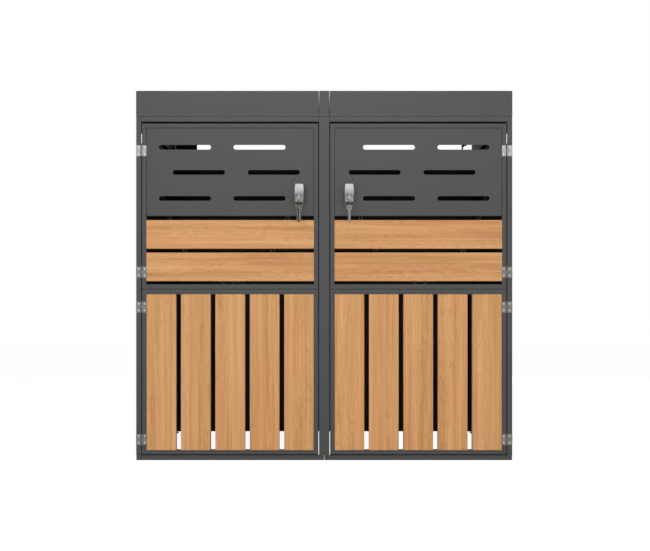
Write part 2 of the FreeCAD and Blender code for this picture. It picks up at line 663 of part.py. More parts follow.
def key_rings():
    """Rings through the key bows, with two spare keys on the left and one on the right."""
    centre = ring_top() - UP * RING_RADIUS
    ring = bar_loop(round_path(centre, RING_RADIUS, DISC_FLATS, ACROSS, UP), BACK, RING_WIRE, WIRE_FLATS)
    save_pair("key_ring", ring)
    save("right_spare_key", spare_key(0.0))
    save("left_spare_keys", mirror(spare_key(-5.0)), mirror(spare_key(5.0)))


def catenary_scale():
    """Scale of the hanging curve with the chain's half span and sag."""
    sag = CHAIN_HIGH - CHAIN_LOW
    low, high = 20.0, 400.0
    for _ in range(60):
        scale = (low + high) / 2
        if scale * (math.cosh(CHAIN_HALF_SPAN / scale) - 1) > sag:
            low = scale
        else:
            high = scale
    return scale


def chain():
    """Round-bar links hung between two eyes under a lid, each link square to the next."""
    scale = catenary_scale()
    length = 2 * scale * math.sinh(CHAIN_HALF_SPAN / scale)
    pitch = length / LINKS
    joints = []
    for count in range(LINKS + 1):
        along = scale * math.asinh((count * pitch - length / 2) / scale)
        height = CHAIN_LOW + scale * (math.cosh(along / scale) - 1)
        joints.append(V(CHAIN_CENTRE + along, FRONT + CHAIN_BACK, height))
    half_width = LINK_INSIDE / 2 + LINK_WIRE
    reach = (pitch + LINK_PLAY) / 2 + LINK_WIRE
    bend = reach - LINK_TAPER
    path = []
    for side in (1, -1):
        path += [V(side * bend, -side * half_width, 0), V(side * reach, 0, 0), V(side * bend, side * half_width, 0)]
    link = bar_loop(path, UP, LINK_WIRE, WIRE_FLATS)
    links = []
    for count, (start, end) in enumerate(zip(joints, joints[1:])):
        ahead = unit(end - start)
        normal = BACK if count % 2 else ahead.cross(BACK)
        turned = link.copy()
        turned.Placement = FreeCAD.Placement((start + end) * 0.5,
                                             FreeCAD.Rotation(ahead, normal.cross(ahead), normal, "XZY"))
        links.append(turned)
    save_pair("chain", *links)
    print("chain length", round(length, 1), "pitch", round(pitch, 2))
    chain_eyes(joints[0], joints[-1])


def chain_eyes(*ends):
    """Eye bolts under the lid stiffener that the end links hang on."""
    eyes = []
    for end in ends:
        wire_height = CHAIN_HIGH - LINK_WIRE
        centre = V(end.x, end.y, wire_height + EYE_RADIUS)
        loop = bar_loop(round_path(centre, EYE_RADIUS, BOSS_FLATS, ACROSS, UP), BACK, EYE_WIRE, RING_FLATS)
        top = centre + UP * EYE_RADIUS
        stud = flat_sided(RING_FLATS, 3.0, top, UP * (STIFFENER_BOTTOM - top.z), ACROSS, BACK)
        eyes.append(unite([loop, stud]))
    save_pair("chain_eyes", *eyes)


os.makedirs("parts", exist_ok=True)
frames()
module_bolts()
side_panel()
rear_panel()
sills()
front_top_rail()
door_seals()
rear_top_rail()
centre_post_cover()
roof_strip()
lid()
lid_stiffener()
lid_buffers()
lid_hinges()
door_frames()
slotted_sheet()
boards()
door_hinges()
handle()
cam()
keepers()
key_and_plug()
key_rings()
chain()
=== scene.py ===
import bmesh
import bpy
import json
import math
from mathutils import Matrix, Vector

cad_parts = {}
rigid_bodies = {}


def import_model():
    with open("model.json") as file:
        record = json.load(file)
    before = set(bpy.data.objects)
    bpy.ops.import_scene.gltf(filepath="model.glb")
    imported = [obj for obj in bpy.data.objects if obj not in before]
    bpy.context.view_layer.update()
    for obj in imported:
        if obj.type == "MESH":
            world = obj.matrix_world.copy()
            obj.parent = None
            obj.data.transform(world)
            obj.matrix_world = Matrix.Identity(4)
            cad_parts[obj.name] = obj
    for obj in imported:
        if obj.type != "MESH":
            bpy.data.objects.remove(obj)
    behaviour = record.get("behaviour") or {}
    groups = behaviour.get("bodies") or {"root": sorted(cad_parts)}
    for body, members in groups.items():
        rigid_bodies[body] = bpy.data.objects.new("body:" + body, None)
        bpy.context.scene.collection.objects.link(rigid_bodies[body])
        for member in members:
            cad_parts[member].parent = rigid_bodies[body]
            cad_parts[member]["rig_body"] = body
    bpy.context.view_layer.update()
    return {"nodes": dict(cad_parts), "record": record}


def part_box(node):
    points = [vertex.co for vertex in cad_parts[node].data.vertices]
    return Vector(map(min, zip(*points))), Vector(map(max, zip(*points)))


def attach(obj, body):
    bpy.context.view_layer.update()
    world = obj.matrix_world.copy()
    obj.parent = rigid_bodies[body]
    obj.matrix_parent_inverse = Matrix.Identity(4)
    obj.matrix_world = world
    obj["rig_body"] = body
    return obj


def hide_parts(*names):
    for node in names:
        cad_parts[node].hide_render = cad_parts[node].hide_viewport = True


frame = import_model()

# A double wheelie bin store. Lengths are in metres, the front faces -Y and the ground is at zero height.
MM = 0.001


def mm(*lengths):
    """Several lengths that are given in millimetres."""
    return tuple(length * MM for length in lengths)


SHEET = 1.5 * MM
RIGHT = Vector((1, 0, 0))
BACK = Vector((0, 1, 0))
UP = Vector((0, 0, 1))
SIDES = ("left", "right")
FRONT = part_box("right_lid")[0].y
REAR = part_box("right_lid")[1].y
SLOT_OF = {part["node"]: part["material_slot"] for part in frame["record"]["subparts"]}
X, Y, Z = range(3)

# Tests on shapes: how squarely a face looks along an axis, and lengths that count as none
SQUARELY = 0.9
NO_LENGTH = 1e-5
MERGE = 0.02 * MM

# How far edges are rounded over
ROLLED_EDGE = 0.6 * MM
FOLDED_EDGE = 0.5 * MM
CUT_EDGE = 0.4 * MM
TURNED_EDGE = 0.35 * MM
FINE_EDGE = 0.3 * MM
KEEN_EDGE = 0.2 * MM

# Door frames, slotted sheets and boards. Slot rows: height, and how far the slots' middles are from
# the store's middle
TUBE = 15.5 * MM
MID_RAIL = 17.2 * MM
TUBE_ROUND = 1.8 * MM
WELD_SEAM = 0.25 * MM
SLOT_LENGTH = 182.6 * MM
SLOT_TALL = 16.6 * MM
SLOT_ROWS = (mm(1097.8, 227.1, 488.8), mm(1009.6, 177.0, 439.7), mm(918.4, 227.1, 488.8))
FLAT_BOARD_HEIGHT = 100.9 * MM
UPRIGHT_WIDTH = 104.5 * MM
UPRIGHT_BOARDS = 5
BOARD_ROUND = 3.0 * MM
BOARD_STEP = 0.618

# Plates on the rear top rails: where each starts and ends, their height and their rounded corners
CORNER_PLATES = {"left": (mm(-657, -563), mm(-41, -22)), "right": (mm(22, 41),)}
CORNER_PLATE_TALL = 58 * MM
CORNER_PLATE_ROUND = 4 * MM

# What the rear panels need to reach the side panels, and the side panels' fold and hand hole
REAR_PANEL_PLAY = 0.4 * MM
FOLD = 2.5 * MM
HAND_HOLE_RADIUS = 18 * MM
HAND_HOLE_LENGTH = 120 * MM
HAND_HOLE_BACK = 100 * MM
HAND_HOLE_HEIGHT = 1147 * MM

# Door hinges. Sink: radius in front and behind, and depth. Screw: radius, height, and depth in the
# leaf. The places of a leaf's screws are given from the hinge's axis and from its middle
HINGE_AXIS = 641.4 * MM
HINGE_HEIGHTS = mm(72.5, 536.5, 658.8, 1084.6)
HINGE_TALL = 39 * MM
HINGE_FORWARD = 3.5 * MM
LEAF_REACH = 18.5 * MM
LEAF_THICK = 1.5 * MM
LEAF_CORNER = 2.5 * MM
KNUCKLE = 2.9 * MM
KNUCKLE_PLAY = 0.6 * MM
HINGE_PIN = 1.5 * MM
HINGE_GAP = 0.3 * MM
SINK = mm(3.6, 1.6, 1.8)
HINGE_SCREW = mm(3.4, 2.0, 1.4)
POST_SCREWS = mm(9.2, 11.4)
DOOR_SCREWS = mm(12.0, 11.4)

# Screws in the board tabs: radius and height. Rivets: radius at the foot and the top, and height,
# and how far they keep from the panel's sides, bottom and top
TAB_SCREW = mm(3.6, 1.8)
TAB_SCREW_PROUD = 1.6 * MM
TAB_SCREW_INSET = 15 * MM
TAB_SCREW_ASIDE = 24 * MM
RIVET = mm(3.2, 2.4, 1.1)
RIVET_SUNK = 0.02 * MM
RIVET_ROWS = 6
RIVET_INSETS = mm(9, 40, 50)

# Handle, lock, key and ring. Bar crown: how far the ends fall back, above and below. Pocket: its reach
# to either side of the key, below it and above it. Square run: how far behind the front it starts and
# ends. Rosette: radius behind and in front. Bow slot: radius and length
HANDLE_X = 87 * MM
HANDLE_Z = 923 * MM
SPINDLE_HOLE = 6 * MM
BAR_LOW = 900 * MM
BAR_HIGH = 965.5 * MM
BAR_END = 29.5 * MM
BAR_MIDDLE = 34.5 * MM
BAR_CROWN = mm(2.4, 6)
BAR_FRONT = 34 * MM
BAR_BACK = 20 * MM
BAR_ROUND = 2.4 * MM
POCKET = mm(11, 11, 9.2)
POCKET_DEEP = 5.5 * MM
POCKET_ROUND = 3 * MM
NECK = 11 * MM
NECK_ROUND = 1.2 * MM
NECK_GAP = 1.3 * MM
SPINDLE = 5 * MM
SPINDLE_END = 7 * MM
SQUARE = 3.5 * MM
SQUARE_RUN = mm(6.9, 29)
ROSETTE = mm(17, 16)
ROSETTE_BORE = 5.3 * MM
KEY_Z = 915 * MM
PLUG = 7.5 * MM
PLUG_PLAY = 0.05 * MM
PLUG_RIM = 1.3 * MM
PLUG_DISH = 0.5 * MM
KEY_THICK = 2.2 * MM
KEY_BLADE = 4 * MM
KEY_PLAY = 0.1 * MM
BLADE_SHARE = 0.9
BOW = 12 * MM
BOW_EDGE = 0.45 * MM
BOW_SLOT = mm(3, 16)
SPARE_BOW = 10 * MM
SPARE_HANG = 0.8 * MM
SPARE_HOLE = 3.5 * MM
SPARE_BLADE = 4.2 * MM
SPARE_BLADE_TOP = 9 * MM
SPARE_GROOVE_TOP = 14 * MM
SPARE_POINT = 2.6 * MM
SPARE_CUTS = mm(1.0, 1.5, 0.7, 1.3, 0.9, 0.6)
CUT_START = 6 * MM
CUT_APART = 4.6 * MM
CUT_TOOL = 1.4 * MM
CUT_TOOL_CORNER = 2.0 * MM
SPARE_LENGTH = 51 * MM
SPARE_TWIST = (math.radians(66), math.radians(42))
SPARE_APART = 3.6 * MM
RING_RADIUS = 14.1 * MM

# Chains
LINKS = 43
LINK_WIRE = 1.5 * MM
LINK_INSIDE = 6.6 * MM
LINK_PLAY = 0.8 * MM
EYE_RADIUS = 7 * MM
EYE_WIRE = 1.2 * MM
EYE_STUD = 2 * MM
EYE_NUT = mm(4, 3)

# Lid hinges. Foot and flange: width, reach before and behind the pin, thickness. Bracket: thickness,
# reach before and behind the pin. Pin: radius and length. Clip: radius, wire and place on the pin
BRACKET_STARTS = mm(43, 612)
LID_PIN_HEIGHT = 1276 * MM
LID_PIN_INSET = 14 * MM
FOOT = mm(26, 16, 1, 3)
FOOT_HOLES = mm(9, 20)
FOOT_HOLE = 2.2 * MM
BRACKET = mm(4, 12, 5)
BOSS = 7 * MM
LID_PIN = mm(4, 22)
PIN_CLIP = mm(4.2, 0.5, 18)
EAR_ASIDE = 6 * MM
EAR_THICK = 6 * MM
EAR_RADIUS = 9 * MM
EAR_BORE = 4.05 * MM
FLANGE = mm(22, 46, 8, 3)

# Rubber buffers: places across, and radius at the foot and at the crown
BUFFER_PLACES = mm(120, 540)
BUFFER = mm(8, 7.4)
BUFFER_ROUND = 1.2 * MM

# Camera, level and nearly centred, as in the photograph
SENSOR = 36.0
EYE_HEIGHT = 0.471
EYE_DISTANCE = 2.994
LENS = 47.28
LENS_SHIFT = (0.0012, 0.07746)

# Surround: its light on the store, what is mirrored of it, and the floor's own white
WORLD_LIGHT = 0.16
WORLD_SHINE = 0.34
FLOOR_SIZE = 30
FLOOR_DROP = 0.2 * MM
FLOOR_WHITE = 1.08
FLOOR_SHARE = 0.9

# Lamps: power in watts, size, place, what it shines at, and whether metal mirrors it
MIDDLE = (0, 0, 0.6)
LAMPS = {"overhead": (20, (3.4, 1.2), (0, -2.4, 3.0), (0, -0.3, 1.0), True),
         "front_high": (44, (5.0, 1.6), (0, -4.5, 2.6), (0, -0.4, 0.9), True),
         "front_fill": (85.5, (3.4, 1.0), (-0.4, -4.6, 0.52), MIDDLE, False),
         "back_fill": (110, (3.4, 1.4), (2.4, 4.2, 1.2), MIDDLE, False),
         "left_fill": (50, (2.4, 1.4), (-4.2, -0.3, 1.2), MIDDLE, False),
         "right_fill": (50, (2.4, 1.4), (4.2, -0.3, 1.2), MIDDLE, False)}

# Colours. Where there are several, a material's pattern goes from the first to the last
WHITE = (1, 1, 1, 1)
FLOOR_GREY = (0.8, 0.8, 0.8, 1)
ANTHRACITE = ((0.047, 0.047, 0.048), (0.061, 0.061, 0.062))
WOOD = ((0.44, 0.195, 0.075), (0.56, 0.285, 0.115), (0.64, 0.345, 0.150), (0.74, 0.46, 0.235))
PINK_WOOD = (0.68, 0.30, 0.150, 1)
YELLOW_WOOD = (0.60, 0.37, 0.125, 1)
PORES = (0.30, 0.13, 0.05, 1)
END_GRAIN = (0.30, 0.14, 0.06, 1)
# Painted highlight: a light colour that screw heads and the key's bow take in place of the glints they
# catch
HIGHLIGHT_PAINT = (0.90, 0.89, 0.87, 1)
STAINLESS = ((0.25, 0.245, 0.235), (0.46, 0.45, 0.435))
NICKEL = ((0.42, 0.405, 0.37), (0.64, 0.62, 0.57))
CHROME = ((0.32, 0.32, 0.31), (0.38, 0.38, 0.37))
ZINC = ((0.70, 0.67, 0.61), (0.86, 0.82, 0.75))
GALVANISED = ((0.42, 0.43, 0.45), (0.60, 0.61, 0.62))
# Painted shade: a near-black steel colour for parts that sit in the dark gap behind the doors
PAINTED_SHADE_STEEL = ((0.014, 0.014, 0.014), (0.022, 0.022, 0.022))
RUBBER = ((0.007, 0.007, 0.007), (0.014, 0.014, 0.014))


def alone(piece):
    """Selects one piece only and makes it the active one."""
    bpy.ops.object.select_all(action="DESELECT")
    piece.select_set(True)
    bpy.context.view_layer.objects.active = piece


def linked(name, data):
    """A new object in the scene."""
    thing = bpy.data.objects.new(name, data)
    bpy.context.collection.objects.link(thing)
    return thing


def settle(name):
    """Names the newest piece and puts its place into its mesh."""
    piece = bpy.context.object
    piece.name = name
    alone(piece)
    bpy.ops.object.transform_apply(location=True, rotation=True, scale=True)
    return piece


class Editing:
    """Edit mode on one piece, with all of it selected until faces, edges or points are picked."""

    def __init__(self, piece, kind="FACE"):
        self.piece = piece
        self.kind = kind

    def __enter__(self):
        alone(self.piece)
        bpy.ops.object.mode_set(mode="EDIT")
        bpy.ops.mesh.select_mode(type=self.kind)
        bpy.ops.mesh.select_all(action="SELECT")
        return self

    def __exit__(self, *stopped):
        bpy.ops.object.mode_set(mode="OBJECT")

    def pick(self, test):
        """Selects what passes a test and lets the rest go."""
        bpy.ops.mesh.select_all(action="DESELECT")
        mesh = bmesh.from_edit_mesh(self.piece.data)
        for part in {"FACE": mesh.faces, "EDGE": mesh.edges, "VERT": mesh.verts}[self.kind]:
            if test(part):
                part.select_set(True)
        mesh.select_flush_mode()
        bmesh.update_edit_mesh(self.piece.data)


def at(part, axis, value, near=MM):
    """Whether every point of an edge or a face lies near a value on an axis."""
    return all(abs(point.co[axis] - value) < near for point in part.verts)


def runs(edge, axis, least=MM):
    """Whether an edge reaches further than a length along an axis."""
    return abs(edge.verts[0].co[axis] - edge.verts[1].co[axis]) > least


def drawn(piece, offset, test, kind="VERT"):
    """Moves the points or faces that pass a test."""
    with Editing(piece, kind) as edit:
        edit.pick(test)
        bpy.ops.transform.translate(value=offset)


def rolled(piece, width, segments, test, kind="EDGE"):
    """Rounds the edges, or the rims of the faces, that pass a test."""
    with Editing(piece, kind) as edit:
        edit.pick(test)
        bpy.ops.mesh.bevel(offset=width, segments=segments, affect="EDGES")
    return piece


def outward(piece):
    """Turns every face of a piece outward."""
    with Editing(piece):
        bpy.ops.mesh.normals_make_consistent(inside=False)
    return piece


def shaped(piece, kind, **settings):
    """Gives a piece a modifier and applies it."""
    modifier = piece.modifiers.new(kind.lower(), kind)
    for name, value in settings.items():
        setattr(modifier, name, value)
    alone(piece)
    bpy.ops.object.modifier_apply(modifier=modifier.name)
    return piece


def eased(piece, width, segments=2, angle=35):
    """Rounds every edge that is sharper than an angle."""
    return shaped(piece, "BEVEL", width=width, segments=segments, limit_method="ANGLE",
                  angle_limit=math.radians(angle))


def carved(piece, *tools):
    """Takes the shape of each tool out of a piece."""
    for tool in tools:
        shaped(piece, "BOOLEAN", operation="DIFFERENCE", object=tool, solver="EXACT")
        bpy.data.objects.remove(tool)
    return piece


def joined(name, pieces):
    """Several pieces as one."""
    alone(pieces[0])
    for piece in pieces[1:]:
        piece.select_set(True)
    bpy.ops.object.join()
    pieces[0].name = name
    return pieces[0]


def copied(piece, offset=(0, 0, 0)):
    """A copy with its own mesh, moved by an offset."""
    alone(piece)
    bpy.ops.object.duplicate()
    bpy.ops.transform.translate(value=offset)
    return settle(piece.name)


def mirrored(piece):
    """The same piece on the other side of the store."""
    copy = copied(piece)
    copy.scale.x = -1
    return outward(settle(copy.name))


def repeated(piece, places):
    """Copies of a piece at several places, as one piece."""
    copies = [copied(piece, place) for place in places]
    bpy.data.objects.remove(piece)
    return joined(copies[0].name, copies)


def turned(piece, angle, axis, centre):
    """Turns a piece's mesh about a line through a point."""
    there = Matrix.Translation(centre)
    piece.data.transform(there @ Matrix.Rotation(angle, 4, axis) @ there.inverted())
    return piece


def block(name, low, high):
    """A block between two corners."""
    low = Vector(low)
    high = Vector(high)
    bpy.ops.mesh.primitive_cube_add(size=1, location=(low + high) / 2, scale=high - low)
    return settle(name)


def bar(name, radius, start, end, sides=32, far_radius=None):
    """A round bar, or a cone where the far radius differs, from one point to another."""
    start = Vector(start)
    end = Vector(end)
    run = end - start
    far_radius = radius if far_radius is None else far_radius
    bpy.ops.mesh.primitive_cone_add(vertices=sides, radius1=radius, radius2=far_radius,
                                    depth=run.length, location=(start + end) / 2,
                                    rotation=run.to_track_quat("Z", "Y").to_euler())
    return settle(name)


def hoop(name, radius, wire, centre, axis, around, across):
    """A closed ring of round wire about an axis."""
    bpy.ops.mesh.primitive_torus_add(major_radius=radius, minor_radius=wire, major_segments=around,
                                     minor_segments=across, location=centre,
                                     rotation=Vector(axis).to_track_quat("Z", "Y").to_euler())
    return settle(name)


def obround(name, radius, length, start, run, along):
    """A bar with round ends for cutting slots: a round bar whose halves are drawn apart."""
    start = Vector(start)
    tool = bar(name, radius, start, start + Vector(run), sides=40)
    for side in (1, -1):
        drawn(tool, along * side * (length / 2 - radius),
              lambda point: (point.co - start).dot(along) * side > NO_LENGTH)
    return tool


# Shader maths

class Shade:
    """A value in a material's node tree that can be used in sums."""

    def __init__(self, tree, socket=None):
        self.tree = tree
        self.socket = socket

    def node(self, kind, settings, inputs, output=0):
        """Any node: its settings, then the values or links of its sockets."""
        made = self.tree.nodes.new("ShaderNode" + kind)
        for name, value in settings.items():
            setattr(made, name, value)
        for name, value in inputs.items():
            if isinstance(value, Shade):
                self.tree.links.new(value.socket, made.inputs[name])
            else:
                made.inputs[name].default_value = value
        return Shade(self.tree, made.outputs[output])

    def math(self, operation, *values):
        """A Math node on numbers and values."""
        return self.node("Math", {"operation": operation}, dict(enumerate(values)))

    def __add__(self, other):
        return self.math("ADD", self, other)

    __radd__ = __add__

    def __mul__(self, other):
        return self.math("MULTIPLY", self, other)

    __rmul__ = __mul__

    def __sub__(self, other):
        return self.math("SUBTRACT", self, other)

    def __rsub__(self, other):
        return self.math("SUBTRACT", other, self)

    def __pow__(self, other):
        return self.math("POWER", self, other)

    def rise(self, low, high):
        """Rises smoothly from 0 to 1 between two values."""
        return self.node("MapRange", {"interpolation_type": "SMOOTHSTEP"},
                         {"Value": self, "From Min": low, "From Max": high})

    def noise(self, vector, scale, detail=2.0, rough=0.5):
        """Soft noise from 0 to 1."""
        return self.node("TexNoise", {"noise_dimensions": "3D"},
                         {"Vector": vector, "Scale": scale, "Detail": detail, "Roughness": rough})

    def ramp(self, value, places, colours):
        """Colours at places from 0 to 1, and what lies between them."""
        made = self.node("ValToRGB", {}, {"Fac": value})
        stops = made.socket.node.color_ramp.elements
        while len(stops) < len(colours):
            stops.new(0.5)
        for stop, place, colour in zip(stops, places, colours):
            stop.position = place
            stop.color = (*colour, 1)
        return made

    def blend(self, share, first, second):
        """Two colours mixed."""
        return self.node("Mix", {"data_type": "RGBA"}, {0: share, 6: first, 7: second}, output=2)

    def parts(self, vector):
        """The three numbers of a vector."""
        outputs = self.node("SeparateXYZ", {}, {"Vector": vector}).socket.node.outputs
        return [Shade(self.tree, outputs[index]) for index in range(3)]

    def vector(self, x, y, z):
        """A vector of three values."""
        return self.node("CombineXYZ", {}, {0: x, 1: y, 2: z})

    def attribute(self, name):
        """The number that is marked on the piece's points."""
        return self.node("Attribute", {"attribute_name": name}, {}, output=2)

    def bump(self, height, strength, distance):
        """A Bump node's normal."""
        return self.node("Bump", {}, {"Strength": strength, "Distance": distance, "Height": height})


def finish_material(name, build, **fixed):
    """A material whose shader has fixed values and what a function links to its sockets."""
    material = bpy.data.materials.new(name)
    material.use_nodes = True
    tree = material.node_tree
    shader = next(node for node in tree.nodes if node.type == "BSDF_PRINCIPLED")
    for socket, value in fixed.items():
        shader.inputs[socket.replace("_", " ")].default_value = value
    start = Shade(tree)
    place = start.node("TexCoord", {}, {}, output=3)
    for socket, value in build(start, place).items():
        tree.links.new(value.socket, shader.inputs[socket])
    return material


def powder_coat(shade, place):
    """Fine textured anthracite coating, with faint clouding and a mottled satin."""
    cloud = shade.noise(place, 3.0, 3.0)
    speckle = shade.noise(place, 900.0, 2.0)
    grain = shade.noise(place, 420.0, 3.0, 0.6)
    tone = 0.5 + (cloud - 0.5) * 0.5 + (speckle - 0.5) * 0.5
    return {"Base Color": shade.ramp(tone, (0.2, 0.8), ANTHRACITE),
            "Roughness": 0.42 + grain * 0.12 + cloud * 0.06,
            "Normal": shade.bump(grain, 0.25, 0.15 * MM)}


def timber(along, across):
    """Planed light hardwood whose grain runs along one axis, each board with its own place in the tree."""
    pith_depth = 0.43
    rings_per_metre = 190.0
    tint = 0.42

    def build(shade, place):
        board = shade.attribute("board")
        axes = shade.parts(place)
        run = axes[along] + board * 3.7
        over = axes[across] + board * 1.9
        deep = axes[Y]
        slow = shade.vector(run * 1.6, over * 7.0, board * 5.3)
        wander = shade.noise(slow, 1.0)
        sway = shade.noise(slow, 2.3)
        centre = (wander - 0.5) * 0.16 + shade.math("SINE", board * 17.0) * 0.03
        aside = axes[across] - shade.attribute("middle") + centre
        below = deep + pith_depth + (sway - 0.5) * 0.05
        radius = (aside * aside + below * below) ** 0.5
        rings = radius * rings_per_metre + sway * 3.0
        wave = shade.math("FRACT", rings)
        late = wave.rise(0.35, 0.92) * (1.0 - wave.rise(0.93, 1.0))
        fine = shade.vector(run * 5.0, over * 260.0, deep * 260.0 + board * 9.0)
        streak = shade.noise(fine, 1.0, 3.0, 0.6)
        broad = shade.vector(run * 1.1, over * 44.0, board * 7.7)
        band = shade.noise(broad, 1.0, 3.0, 0.55)
        dash = shade.vector(run * 46.0, over * 1500.0, deep * 1500.0)
        pore = shade.noise(dash, 1.0, 1.0).rise(0.62, 0.74)
        tone = 0.43 + (band - 0.5) * 1.2 + (streak - 0.5) * 0.7 - late * 0.14 + (wander - 0.5) * 0.2
        colour = shade.ramp(tone, (0.05, 0.35, 0.6, 0.95), WOOD)
        hue = shade.noise(broad, 2.1)
        colour = shade.blend(hue.rise(0.50, 0.72) * tint, colour, PINK_WOOD)
        colour = shade.blend((1.0 - hue).rise(0.52, 0.72) * tint, colour, YELLOW_WOOD)
        colour = shade.blend(pore * 0.35, colour, PORES)
        facing = shade.parts(shade.node("TexCoord", {}, {}, output=1))
        end = shade.math("ABSOLUTE", facing[along]).rise(0.6, 0.9)
        colour = shade.blend(end * 0.55, colour, END_GRAIN)
        relief = streak * 0.6 - late * 0.35 - pore * 0.8
        return {"Base Color": colour, "Roughness": 0.50 + streak * 0.16 + pore * 0.1,
                "Normal": shade.bump(relief, 0.35, 0.25 * MM)}
    return build


def brushed(colours, run, rough):
    """Metal with fine brush lines along one axis, with a painted highlight in a light colour where a
    piece's points are marked for it.
    """
    def build(shade, place):
        across, along = 1400.0, 22.0
        scale = [along if axis == run else across for axis in (X, Y, Z)]
        stretched = shade.node("VectorMath", {"operation": "MULTIPLY"}, {0: place, 1: scale})
        line = shade.noise(stretched, 1.0, 2.0, 0.6)
        cloud = shade.noise(place, 60.0)
        metal = shade.ramp(line * 0.65 + cloud * 0.35, (0.25, 0.75), colours)
        # Painted highlight: marked points take a light colour that stands in for glints
        return {"Base Color": shade.blend(shade.attribute("painted_highlight"), metal, HIGHLIGHT_PAINT),
                "Roughness": rough + line * 0.12,
                "Normal": shade.bump(line, 0.25, 0.05 * MM)}
    return build


def cast_chrome(shade, place):
    """Satin chrome plate over a casting, a little cloudy."""
    cloud = shade.noise(place, 45.0, 3.0)
    fine = shade.noise(place, 700.0)
    return {"Base Color": shade.ramp(cloud, (0.3, 0.7), CHROME),
            "Roughness": 0.24 + cloud * 0.10 + fine * 0.05,
            "Normal": shade.bump(fine, 0.12, 0.05 * MM)}


def spangled(colours, scale, rough):
    """Plated or galvanised steel, or steel painted near black as painted shade, with a flaky crystal
    pattern.
    """
    def build(shade, place):
        flake = shade.node("TexVoronoi", {"feature": "F1"},
                           {"Vector": place, "Scale": scale, "Randomness": 1.0}, output=1)
        grey = shade.node("SeparateColor", {}, {"Color": flake})
        cloud = shade.noise(place, 30.0, 3.0)
        tone = grey * 0.55 + cloud * 0.45
        return {"Base Color": shade.ramp(tone, (0.2, 0.8), colours),
                "Roughness": rough + grey * 0.14,
                "Normal": shade.bump(grey, 0.1, 0.05 * MM)}
    return build


def moulded_rubber(shade, place):
    """Black rubber with a dusty bloom."""
    bloom = shade.noise(place, 120.0, 3.0)
    return {"Base Color": shade.ramp(bloom, (0.3, 0.8), RUBBER),
            "Roughness": 0.7 + bloom * 0.2,
            "Normal": shade.bump(bloom, 0.3, 0.2 * MM)}


FINISHES = {
    "powder_coat": finish_material("powder_coat_finish", powder_coat, Specular_IOR_Level=0.55),
    "flat_boards": finish_material("flat_board_timber", timber(X, Z), Specular_IOR_Level=0.3),
    "upright_boards": finish_material("upright_board_timber", timber(Z, X), Specular_IOR_Level=0.3),
    "stainless": finish_material("stainless_finish", brushed(STAINLESS, X, 0.26), Metallic=1.0),
    "chrome": finish_material("chrome_finish", cast_chrome, Metallic=1.0),
    "zinc": finish_material("zinc_finish", spangled(ZINC, 300.0, 0.40), Metallic=0.4),
    # Near-black steel that is painted shade, for parts seen only in shadow
    "painted_shade_steel": finish_material("painted_shade_steel_finish", spangled(PAINTED_SHADE_STEEL, 300.0, 0.5),
                                   Specular_IOR_Level=0.3),
    "nickel": finish_material("nickel_finish", brushed(NICKEL, Z, 0.2), Metallic=1.0),
    "galvanised": finish_material("galvanised_finish", spangled(GALVANISED, 160.0, 0.36), Metallic=1.0),
    "rubber": finish_material("rubber_finish", moulded_rubber, Specular_IOR_Level=0.2),
}


def finished(piece, node, word, finish=None, smooth=35, stands_for=True):
    """Gives a piece its finish and fixes it to the body of a CAD node, which it may stand for."""
    piece.name = f"{node}_{word}"
    piece.data.name = piece.name
    piece.data.materials.clear()
    piece.data.materials.append(FINISHES[finish or SLOT_OF[node]])
    alone(piece)
    bpy.ops.object.shade_smooth_by_angle(angle=math.radians(smooth), keep_sharp_edges=False)
    shaped(piece, "WEIGHTED_NORMAL", keep_sharp=True)
    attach(piece, frame["nodes"][node]["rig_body"])
    if stands_for:
        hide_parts(node)
    return piece


def on_both_sides(piece, name, word, smooth=35):
    """Finishes a piece on the right and its mirror image on the left."""
    left = mirrored(piece)
    finished(piece, f"right_{name}", word, smooth=smooth)
    finished(left, f"left_{name}", word, smooth=smooth)


# Sheet metal and frames

def folded_copy(node, width, word, reach=0, finish=None):
    """The node's own shape with its edges rounded, and its outer side moved out by a reach."""
    piece = linked(node, frame["nodes"][node].data.copy())
    alone(piece)
    bpy.ops.mesh.customdata_custom_splitnormals_clear()
    with Editing(piece, "VERT"):
        bpy.ops.mesh.remove_doubles(threshold=MERGE)
        bpy.ops.mesh.dissolve_limited(angle_limit=math.radians(1))
    if reach:
        low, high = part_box(node)
        outer = high.x if high.x > -low.x else low.x
        drawn(piece, RIGHT * math.copysign(reach, outer),
              lambda face: at(face, X, outer, 0.1 * MM), "FACE")
    return finished(eased(piece, width), node, word, finish)


def carcass():
    """Frames, panels, rails, cover and roof, rounded where the steel is folded or cut."""
    for side in SIDES:
        for part in ("side_frame", "centre_frame", "rear_top_rail"):
            folded_copy(f"{side}_{part}", ROLLED_EDGE, "angle")
        for part in ("sills", "front_top_rail", "lid", "lid_stiffener"):
            folded_copy(f"{side}_{part}", FOLDED_EDGE, "folded")
        folded_copy(f"{side}_rear_panel", FOLDED_EDGE, "folded", REAR_PANEL_PLAY)
        folded_copy(f"{side}_board_cleats", FOLDED_EDGE, "tabs")
        # The cam tongue is painted near black as painted shade for the gap it sits in
        folded_copy(f"{side}_cam", ROLLED_EDGE, "tongue", finish="painted_shade_steel")
    folded_copy("centre_post_cover", ROLLED_EDGE, "folded")
    folded_copy("roof_centre_strip", FOLDED_EDGE, "folded")
    folded_copy("keepers", CUT_EDGE, "folded")
    folded_copy("module_bolts", CUT_EDGE, "made")
    folded_copy("door_seals", KEEN_EDGE, "cut")


